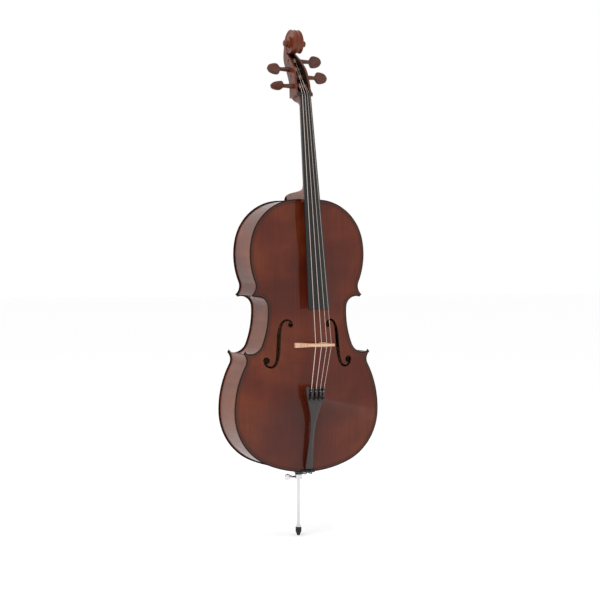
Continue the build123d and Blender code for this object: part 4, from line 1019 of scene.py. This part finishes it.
def bridge():
    half = [(v.x, v.y) for v in smooth_path([(x, y, 0) for x, y in BRIDGE_ARCH], 6)]
    half += [(31, -70), (36, -70), (41, -70)]
    half += [(v.x, v.y) for v in smooth_path([(x, y, 0) for x, y in BRIDGE_SIDE + BRIDGE_EAR], 5)]
    half += [(x, BRIDGE_CROWN_Y + 0.3 + sag(BRIDGE_RADIUS, x)) for x in (34, 30, 25, 20, 15, 10, 5)]
    loop = half + [(0.0, BRIDGE_CROWN_Y + 0.3)] + mirrored(half)
    heart = [(v.x, v.y) for v in smooth_path([(x, y, 0) for x, y in BRIDGE_HEART], 5)]
    heart += mirrored(heart)
    grid = np.array([(x, y) for x in np.arange(-44, 45, 4.0) for y in np.arange(-172, -70, 4.0)])
    grid = grid[in_loop(grid, loop)]
    for ring in (loop, heart):
        grid = grid[edge_distance(grid, ring) > 2.0]
    flat, triangles = sheet([loop, heart], grid, loop, [heart])
    count = len(flat)
    thick = np.where(flat[:, 1] > -84, 13.0, 5.0 + 8.0 * (flat[:, 1] + 179) / 95.0)
    top, low = [], []
    for (x, y), depth in zip(flat, thick):
        for z, face in ((BRIDGE_FRONT, top), (BRIDGE_FRONT - depth, low)):
            foot = -float(RIB_FACE + EDGE_THICKNESS + TOP_RISE * arch_share(x, z)) + 0.2
            face.append((x, foot if y > -70.5 else y, z))
    faces = two_sheets(triangles, count) + [(b, a, a + count, b + count) for a, b in rim(triangles)]
    piece = mesh_piece(
        "bridge_maple", top + low, faces, bridge_maple, "instrument", "bridge_maple", ["bridge"],
    )
    bevel = piece.modifiers.new("bevel", "BEVEL")
    bevel.width = 0.0007
    bevel.segments = 2
    bevel.limit_method = "ANGLE"
    bevel.angle_limit = math.radians(50)


bridge()


# ================================ tailpiece and fine tuners
STRING_NAMES = ("c", "g", "d", "a")
STRING_RADIUS = {"c": 0.85, "g": 0.7, "d": 0.55, "a": 0.45}
TAIL_LENGTH, TAIL_RADIUS = 236.0, 53.0
TAIL_TILT = math.asin(-53.0 / TAIL_LENGTH)
TAIL_ORIGIN = Vector((0, -76.0, 194.0))
TAIL_IN = Vector((0, math.cos(TAIL_TILT), -math.sin(TAIL_TILT)))
TAIL_UP = Vector((0, math.sin(TAIL_TILT), math.cos(TAIL_TILT)))
# Along the tailpiece: width, thickness and how far the sides fall away from the ridge along its middle.
TAIL_SECTIONS = [
    (0, (20.5, 8.5, 0.4)), (25, (20.0, 8.2, 1.2)), (60, (15.8, 7.6, 2.6)), (100, (13.4, 7.5, 2.9)),
    (120, (14.0, 7.8, 2.7)), (140, (18.4, 9.0, 1.8)), (160, (25.5, 10.5, 0.8)), (185, (38.5, 12.0, 0.0)),
    (205, (49.0, 12.6, 0.0)), (236, (59.5, 13.0, 0.0)),
]
TAIL_SPACING = 12.4
TAIL_X = {name: (i - 1.5) * TAIL_SPACING for i, name in enumerate(STRING_NAMES)}
SCREW_Z, PIVOT_Z, PIVOT_Y, HOOK_Z, HOOK_RISE = 204.0, 221.0, 8.5, 229.0, 6.0
GUT_X, GUT_DEPTH, GUT_RADIUS, GUT_Z = 5.5, 4.6, 1.6, 180.5


def on_tail(x, y, z):
    """A point from across, in towards the belly and up the tailpiece, from its crown at the foot."""
    return TAIL_ORIGIN + Vector((x, 0, 0)) + TAIL_IN * y + TAIL_UP * z


def tail_ring(z, shrink):
    width, under, ridge = interpolate(TAIL_SECTIONS, z)
    half, under, ridge = width / 2 - shrink, under - shrink * 0.7, max(ridge, 0.0)
    edge = 1.6
    columns = list(np.linspace(-half + edge, half - edge, 13))
    for x in TAIL_X.values():  # columns at the string slots' edges
        columns += [x - 3.2, x - 3.199, x + 3.199, x + 3.2]
    columns = sorted(min(max(c, edge - half), half - edge) for c in columns)
    top = [(x, sag(TAIL_RADIUS, x) + shrink + ridge * abs(x) / (half - edge)) for x in columns]
    fall = sag(TAIL_RADIUS, half - edge) + shrink + ridge
    corner = [
        (half - edge + edge * math.sin(a), fall + edge - edge * math.cos(a))
        for a in (0.4, 0.8, 1.2, math.pi / 2)
    ]
    low = max(fall + edge + 0.2, under - 1.2)
    ring = top + corner + [(half, low), (half - 1.2, max(under, low + 0.2))]
    ring += [(-half + 1.2, max(under, low + 0.2)), (-half, low)] + mirrored(corner)
    return [on_tail(x, y, z) for x, y in ring]


def cutter(name, rings):
    """A closed shape to cut with, which is taken away again afterwards."""
    mesh = bpy.data.meshes.new(name)
    points = [tuple(v * MM for v in p) for ring in rings for p in ring]
    mesh.from_pydata(points, [], ring_faces(rings))
    clean(mesh)
    piece = bpy.data.objects.new(name, mesh)
    scene.collection.objects.link(piece)
    return piece


def cut(piece, cutters, sharp=40.0):
    """Cuts shapes out of a piece's mesh for good, and removes the shapes."""
    for tool in cutters:
        modifier = piece.modifiers.new("cut", "BOOLEAN")
        modifier.object = tool
        modifier.operation = "DIFFERENCE"
        modifier.solver = "EXACT"
    bpy.context.view_layer.update()
    graph = bpy.context.evaluated_depsgraph_get()
    final = bpy.data.meshes.new_from_object(piece.evaluated_get(graph))
    piece.modifiers.clear()
    old = piece.data
    piece.data = final
    bpy.data.meshes.remove(old)
    for tool in cutters:
        mesh = tool.data
        bpy.data.objects.remove(tool)
        bpy.data.meshes.remove(mesh)
    piece.data.shade_smooth()
    piece.data.set_sharp_from_angle(angle=math.radians(sharp))


def tailpiece():
    stops = [
        (0.0, 1.6), (0.5, 0.8), (1.6, 0.0), *[(z, 0.0) for z in range(8, 232, 8)], (234.4, 0.0),
        (235.5, 0.8), (236, 1.6),
    ]
    rings = [tail_ring(float(z), shrink) for z, shrink in stops]
    piece = loft_piece(
        "tailpiece_body", rings, tail_plastic, "instrument", "tail_plastic", ["tailpiece"], sharp=35,
    )
    tools = []
    for name, x in TAIL_X.items():
        slot = [
            [on_tail(x + dx, y, z) for dx, y in ((-3.2, -6), (3.2, -6), (3.2, 20), (-3.2, 20))]
            for z in (209.0, 240.0)
        ]
        tools.append(cutter(f"slot_{name}", slot))
    for x in (-GUT_X, GUT_X):
        hole = lathe_rings([(-2, 1.75), (18, 1.75)], on_tail(x, GUT_DEPTH, 0), TAIL_UP, 20)
        tools.append(cutter(f"gut_hole_{x}", hole))
    cut(piece, tools, 35)


tailpiece()


def prism(name, outline_yz, half_width, x, materials, body, slot, stands_for, bevel=0.4):
    """A soft-edged plate across the tailpiece, from its side outline in (in, up) and its half width."""
    middle = Vector((sum(p[0] for p in outline_yz), sum(p[1] for p in outline_yz))) / len(outline_yz)
    rings = []
    for dx, inset in (
        (-half_width, bevel), (-half_width + bevel, 0), (half_width - bevel, 0), (half_width, bevel),
    ):
        ring = []
        for y, z in outline_yz:
            way = (Vector((y, z)) - middle).normalized() * inset
            ring.append(on_tail(x + dx, y - way.x, z - way.y))
        rings.append(ring)
    return loft_piece(name, rings, materials, body, slot, stands_for, sharp=30)


def knurl(angle, along):
    """The fine ribs round a knob's side."""
    return 1 - 0.035 * (0.5 + 0.5 * math.cos(24 * angle)) * (1 if 1 < along < 7.5 else 0)


def tuner(name, x):
    crown = sag(TAIL_RADIUS, x)
    hook = crown - HOOK_RISE
    side = [
        (hook - 2.5, HOOK_Z - 2.0), (hook - 2.9, HOOK_Z), (hook - 2.5, HOOK_Z + 2.0),
        (hook - 1.5, HOOK_Z + 2.5), (crown + 2, HOOK_Z + 2.5), (PIVOT_Y + 2.5, PIVOT_Z + 5.5),
        (PIVOT_Y + 5.5, PIVOT_Z + 3), (17.5, PIVOT_Z - 3), (17.5, SCREW_Z - 4), (14.5, SCREW_Z - 4),
        (14.5, PIVOT_Z - 7), (PIVOT_Y + 1, PIVOT_Z - 5), (PIVOT_Y - 3, PIVOT_Z - 3),
        (crown - 1, HOOK_Z - 4),
    ]
    prism(
        f"tuner_lever_arm_{name}", side, 2.8, x, tuner_black, f"tuner_lever_{name}", "tuner_metal",
        [f"tuner_lever_{name}"],
    )
    under = crown - 5.0
    knob = [(0.0, 3.4), (0.5, 4.4), (1.2, 4.8), (6.6, 4.8), (7.5, 4.5), (8.0, 3.6), (8.0, 0.01)]
    rings = lathe_rings(knob, on_tail(x, under, SCREW_Z), -TAIL_IN, 96, knurl)
    loft_piece(
        f"tuner_knob_knurled_{name}", rings, tuner_black, f"tuner_knob_{name}", "tuner_metal",
        [f"tuner_knob_{name}"],
    )
    thread = [(0.0, 1.2), (0.5, 1.7)]
    along = 1.0
    while along < 20.2 - under - 6.2:
        thread += [(along, 1.75), (along + 0.35, 1.5)]
        along += 0.7
    top = 14.2 - under + 2
    thread = [(a, r) for a, r in thread if a < top] + [(top, 1.6)]
    rings = lathe_rings(thread, on_tail(x, 14.2, SCREW_Z), -TAIL_IN, 20)
    loft_piece(
        f"tuner_screw_thread_{name}", rings, plated_steel, f"tuner_screw_{name}", "tuner_metal",
        [f"tuner_screw_{name}"],
    )
    collar = [(0.2, 3.9), (0.6, 4.3), (1.8, 4.3), (2.2, 3.9), (2.2, 2.2)]
    rings = lathe_rings(collar, on_tail(x, crown + 0.9, SCREW_Z), -TAIL_IN, 32)
    loft_piece(f"tuner_bush_{name}", rings, tuner_black, "instrument", "tuner_metal", ends=False)


for tuner_name, tuner_x in TAIL_X.items():
    tuner(tuner_name, tuner_x)


# ================================ strings
PEG_PLACES = {
    "c": (-13.0, 1254.0, -1), "a": (8.0, 1282.0, 1), "g": (21.0, 1304.0, -1), "d": (39.0, 1330.0, 1),
}
WINDING_PLACE = {"c": -5.0, "g": -2.0, "d": 2.0, "a": 5.0}
BRIDGE_SPACING, NUT_SPACING = 15.5, 7.4


def shank_radius(name, x):
    return 6.75 + 0.02 * PEG_PLACES[name][2] * x


def winding_radius(name):
    return shank_radius(name, WINDING_PLACE[name]) + 2 * STRING_RADIUS[name]


def string_places(name):
    """Where a string's centre line bends or ends: at its hook, the bridge, the nut and its peg."""
    step = STRING_NAMES.index(name) - 1.5
    anchor = on_tail(step * TAIL_SPACING, sag(TAIL_RADIUS, step * TAIL_SPACING) - HOOK_RISE, HOOK_Z + 3.0)
    x = step * BRIDGE_SPACING
    over_bridge = Vector((x, BRIDGE_CROWN_Y + sag(BRIDGE_RADIUS, x), BRIDGE_Z))
    x = step * NUT_SPACING
    over_nut = on_neck(x, sag(BOARD_RADIUS, x) - 1.4, 3.5)
    peg_y, peg_z, _ = PEG_PLACES[name]
    reach = winding_radius(name) + STRING_RADIUS[name] + 0.3
    way_y, way_z = over_nut.y - peg_y, over_nut.z - peg_z
    angle = math.atan2(way_z, way_y) - math.acos(reach / math.hypot(way_y, way_z))
    at_peg = Vector((WINDING_PLACE[name], peg_y + reach * math.cos(angle), peg_z + reach * math.sin(angle)))
    return [anchor, over_bridge, over_nut, at_peg]


def bent_path(points, reach=2.5):
    """The points joined by straight lines, with each corner turned over a few millimetres."""
    path = [points[0]]
    for before, corner, after in zip(points, points[1:], points[2:]):
        start = corner + (before - corner).normalized() * reach
        end = corner + (after - corner).normalized() * reach
        path += [
            start * (1 - t) ** 2 + corner * 2 * t * (1 - t) + end * t**2
            for t in (0, 0.25, 0.5, 0.75, 1)
        ]
    return path + [points[-1]]


def string(name):
    radius = STRING_RADIUS[name]
    anchor, bridge_point, nut_point, peg_point = string_places(name)
    piece_name = f"string_{name}_wound"
    rings = tube_rings(bent_path([anchor, bridge_point, nut_point, peg_point]), radius, 14)
    loft_piece(piece_name, rings, string_steel, "instrument", "string_metal", [f"string_{name}"])
    low_way = (bridge_point - anchor).normalized()
    ball = [(a, 2.3 * math.sqrt(max(0.0, 1 - (a / 2.4) ** 2)) + 0.01) for a in np.linspace(-2.4, 2.4, 11)]
    rings = lathe_rings(ball, anchor - low_way * 4.8, (1, 0, 0), 24)
    loft_piece(f"string_{name}_ball_end", rings, plated_steel, "instrument", "string_metal")


def winding(name):
    """The string's turns round its peg."""
    y, z, _ = PEG_PLACES[name]
    radius = STRING_RADIUS[name]
    turns = int(6.0 / (2 * radius)) - 1
    path = []
    for k in range(turns * 24 + 1):
        angle = 2 * math.pi * k / 24
        x = WINDING_PLACE[name] + 2 * radius * (k / 24 - turns / 2)
        r = shank_radius(name, x) + radius
        path.append((x, y + r * math.cos(angle), z + r * math.sin(angle)))
    rings = tube_rings(path, radius, 10)
    loft_piece(
        f"winding_{name}", rings, string_steel, f"peg_{name}", "string_metal",
        [f"string_winding_{name}"],
    )


for string_name in STRING_NAMES:
    string(string_name)
    winding(string_name)


# ================================ pegs
HEAD_ANGLE = {"c": -53.0, "g": 20.0, "d": -15.0, "a": 10.0}
CHEEK_REACH = {"c": 23.3, "a": 21.5, "g": 19.3, "d": 16.8}
HEAD_START = {"c": 53.0, "a": 53.0, "g": 49.0, "d": 49.0}
# The head's half height and half thickness, along it from the stem.
HEAD_SHAPE = [
    (-4, (5.5, 5.4)), (-1.5, (5.7, 5.6)), (0, (6.6, 5.9)), (1.5, (9.4, 6.3)), (3.5, (13.4, 6.7)),
    (7, (16.6, 6.9)), (12, (17.4, 6.5)), (18, (16.8, 5.9)), (25, (15.0, 5.2)), (31, (11.8, 4.4)),
    (35, (7.2, 3.2)), (36.6, (3.6, 1.8)),
]


def peg_head(name):
    """Rings along a peg's head, whose faces are scooped between its rims."""
    y, z, side = PEG_PLACES[name]
    turn = math.radians(HEAD_ANGLE[name])
    rings = []
    for place in (-4, -2, -0.5, 0.7, 2, 3.5, 5, 7, 9.5, 12, 15, 18, 21.5, 25, 28, 31, 33, 35, 36, 36.6):
        height, depth = interpolate(HEAD_SHAPE, place)
        scoop = 0.34 * float(smooth_step((place - 1) / 8)) * float(smooth_step((36 - place) / 10))
        ring = []
        for k in range(48):
            angle = 2 * math.pi * k / 48
            c, s = math.cos(angle), math.sin(angle)
            up = height * math.copysign(abs(c) ** 0.85, c)
            out = depth * math.copysign(abs(s) ** 0.85, s) * (1 - scoop * abs(s) ** 5)
            across = up * math.sin(turn) - out * math.cos(turn)
            rise = up * math.cos(turn) + out * math.sin(turn)
            ring.append((side * (HEAD_START[name] + place), y + across, z + rise))
        rings.append(ring)
    return rings


def peg(name):
    y, z, side = PEG_PLACES[name]
    cheek, start = CHEEK_REACH[name], HEAD_START[name]

    def shank(x):
        return shank_radius(name, side * x)

    profile = [
        (-cheek - 0.8, shank(-cheek) - 0.6), (-cheek - 0.3, shank(-cheek)),
        (cheek + 4, shank(cheek + 4)),
    ]
    profile += [(cheek + 9, 6.6), (cheek + 15, 6.1), (start - 8, 5.7), (start - 3, 5.45), (start, 5.4)]
    rings = lathe_rings(profile, (0, y, z), (side, 0, 0), 40)
    points, faces = joined(rings, peg_head(name))
    mesh_piece(
        f"peg_turned_{name}", points, faces, peg_material, f"peg_{name}", "peg_wood", [f"peg_{name}"],
        sharp=45,
    )
    pip = [(35.4, 0.01), (35.6, 2.2), (36.4, 2.6), (37.0, 2.2), (37.6, 1.2), (37.8, 0.01)]
    rings = lathe_rings([(start + along, radius) for along, radius in pip], (0, y, z), (side, 0, 0), 24)
    loft_piece(f"peg_pip_{name}", rings, peg_material, f"peg_{name}", "peg_wood")


for peg_name in STRING_NAMES:
    peg(peg_name)


# ================================ endpin
def turned(name, profile, material, body, slot, stands_for):
    """A piece turned about the endpin's axis from (height, radius)."""
    rings = lathe_rings(profile, (0, 0, 0), (0, 0, 1), 56)
    return loft_piece(name, rings, material, body, slot, stands_for, sharp=35.0)


turned(
    "endpin_collar",
    [
        (172.0, 4.1), (172.0, 8.9), (172.6, 9.5), (174.0, 9.9), (176.5, 11.2), (178.6, 12.6),
        (179.4, 11.6), (181.6, 11.6), (182.4, 13.2), (184.0, 14.2), (185.6, 15.0), (187.4, 15.0),
        (188.0, 14.4), (188.0, 12.3), (223.0, 11.0), (223.0, 4.1),
    ],
    ebony_wood, "instrument", "ebony", ["endpin_socket"],
)
turned(
    "endpin_clamp",
    [
        (158.5, 4.1), (158.5, 10.2), (159.2, 11.0), (162.0, 11.0), (162.4, 10.6), (162.8, 11.0),
        (167.7, 11.0), (168.1, 10.6), (168.5, 11.0), (171.3, 11.0), (172.0, 10.2), (172.0, 4.1),
    ],
    plated_steel, "instrument", "steel", ["endpin_ferrule"],
)
turned(
    "endpin_steel_rod", [(9.0, 1.0), (9.4, 1.4), (12.0, 4.0), (519.2, 4.0), (520.0, 3.2)], rod_steel,
    "endpin", "steel", ["endpin_rod"],
)
turned(
    "endpin_cone_steel",
    [(23.5, 4.0), (23.5, 7.2), (24.0, 7.5), (25.0, 7.4), (30.0, 5.1), (31.0, 4.7), (31.0, 4.0)],
    plated_steel, "endpin", "steel", ["endpin_cone"],
)
turned(
    "rubber_foot",
    [
        (0.0, 0.01), (0.0, 2.8), (0.5, 3.6), (9.0, 7.3), (10.4, 7.9), (12.0, 8.25), (14.0, 8.25),
        (14.4, 7.9), (15.0, 8.25), (17.0, 8.25), (17.4, 7.9), (18.0, 8.25), (20.0, 8.25), (20.4, 7.9),
        (21.0, 8.25), (22.4, 8.2), (23.2, 7.7), (23.5, 6.9), (23.5, 4.1),
    ],
    rubber, "rubber_tip", "black_rubber", ["rubber_tip"],
)
THUMBSCREW_Z = 165.25


def thumbscrew():
    thread, along = [(4.1, 1.8), (4.6, 2.4)], 5.0
    while along < 20.0:
        thread += [(along, 2.5), (along + 0.4, 2.2)]
        along += 0.8
    thread += [(20.5, 2.5), (27.0, 2.5)]
    rings = lathe_rings(thread, (0, 0, THUMBSCREW_Z), (-1, 0, 0), 24)
    loft_piece("thumbscrew_thread", rings, black_steel, "thumbscrew", "steel", ["thumbscrew"])
    hub = [(21.0, 2.55), (21.0, 4.1), (21.5, 4.5), (25.0, 4.5), (27.5, 4.2), (29.0, 3.2), (29.0, 0.01)]
    rings = lathe_rings(hub, (0, 0, THUMBSCREW_Z), (-1, 0, 0), 32)
    wing = []
    for share in np.linspace(-1, 1, 15):
        span = 9.0 * share
        reach = 9.0 * math.sqrt(max(0.0, 1 - share**2)) ** 0.8
        thick = 1.5 * (0.25 + 0.75 * math.sqrt(max(0.0, 1 - share**2)))
        ring = []
        for k in range(16):
            angle = 2 * math.pi * k / 16
            ring.append(
                (-33.5 + max(reach, 0.3) * math.cos(angle), thick * math.sin(angle), THUMBSCREW_Z + span)
            )
        wing.append(ring)
    points, faces = joined(rings, wing)
    mesh_piece(
        "thumbscrew_wing_cast", points, faces, plated_steel, "thumbscrew_wing", "steel",
        ["thumbscrew_wing"], sharp=50,
    )


thumbscrew()


def tail_gut():
    """A loop from the tailpiece's two holes round the endpin's collar, 0.6 mm clear of it."""
    collar_radius = 9.5 + 5.5 * 8.5 / 14
    ring = collar_radius + GUT_RADIUS + 0.6
    half = [on_tail(GUT_X, GUT_DEPTH, z) for z in (16, 10, 4, -1)]
    half += [(7, -73.5, 189.5), (8, -71.5, 183), (10, -60, GUT_Z)]
    half += [(ring * math.cos(a), ring * math.sin(a), GUT_Z) for a in (0, math.pi / 4)]
    other_half = [(-x, y, z) for x, y, z in reversed(half)]
    rings = tube_rings(smooth_path(half + [(0, ring, GUT_Z)] + other_half, 8), GUT_RADIUS, 16)
    loft_piece("tail_gut_loop", rings, gut_black, "instrument", "gut_plastic", ["tail_gut"])


tail_gut()


# ================================ inside parts of the frame
def carry_over(names, material):
    for name in names:
        for item in scene.objects:
            if item.type == "MESH" and item.name == name:
                for slot in item.material_slots:
                    slot.material = material


corner_names = [f"corner_block_{a}_{b}" for a in ("lower", "upper") for b in ("treble", "bass")]
carry_over(["top_block", "bottom_block", "front_linings", "back_linings", *corner_names], inside_wood)
carry_over(["bass_bar", "sound_post"], inner_spruce)
carry_over(["lever_pin"], plated_steel)


# ================================ floor and light
def floor():
    mesh = bpy.data.meshes.new("floor")
    half = 30.0
    mesh.from_pydata(
        [(-half, -half, 0), (half, -half, 0), (half, half, 0), (-half, half, 0)], [], [(0, 1, 2, 3)],
    )
    surface = Surface("pale_floor", roughness=0.85, specular_ior_level=0.2)
    speck = surface.noise((30, 30, 30), detail=2.0)
    surface.colour(surface.ramp(speck, [(0.3, (0.98, 0.98, 0.98)), (0.7, (0.99, 0.99, 0.99))]))
    mesh.materials.append(surface.material)
    piece = bpy.data.objects.new("floor", mesh)
    scene.collection.objects.link(piece)


floor()


def soft_light(name, place, target, width, height, power):
    data = bpy.data.lights.new(name, "AREA")
    data.shape = "RECTANGLE"
    data.size = width
    data.size_y = height
    data.energy = power
    lamp = bpy.data.objects.new(name, data)
    lamp.visible_glossy = False
    scene.collection.objects.link(lamp)
    lamp.location = Vector(place)
    lamp.rotation_mode = "QUATERNION"
    lamp.rotation_quaternion = (Vector(target) - Vector(place)).to_track_quat("-Z", "Y")


soft_light("key", (-3.2, -2.2, 2.6), (0, 0, 0.8), 1.6, 2.4, 60)
soft_light("fill", (2.6, -2.8, 1.4), (0, 0, 0.7), 1.4, 2.6, 25)
soft_light("top", (0, -0.6, 3.6), (0, 0, 0.6), 2.4, 2.0, 20)
world = bpy.data.worlds.new("studio")
world.use_nodes = True
world.node_tree.nodes["Background"].inputs["Color"].default_value = (1, 1, 1, 1)
world.node_tree.nodes["Background"].inputs["Strength"].default_value = 1.0
scene.world = world
scene.view_settings.view_transform = "Standard"
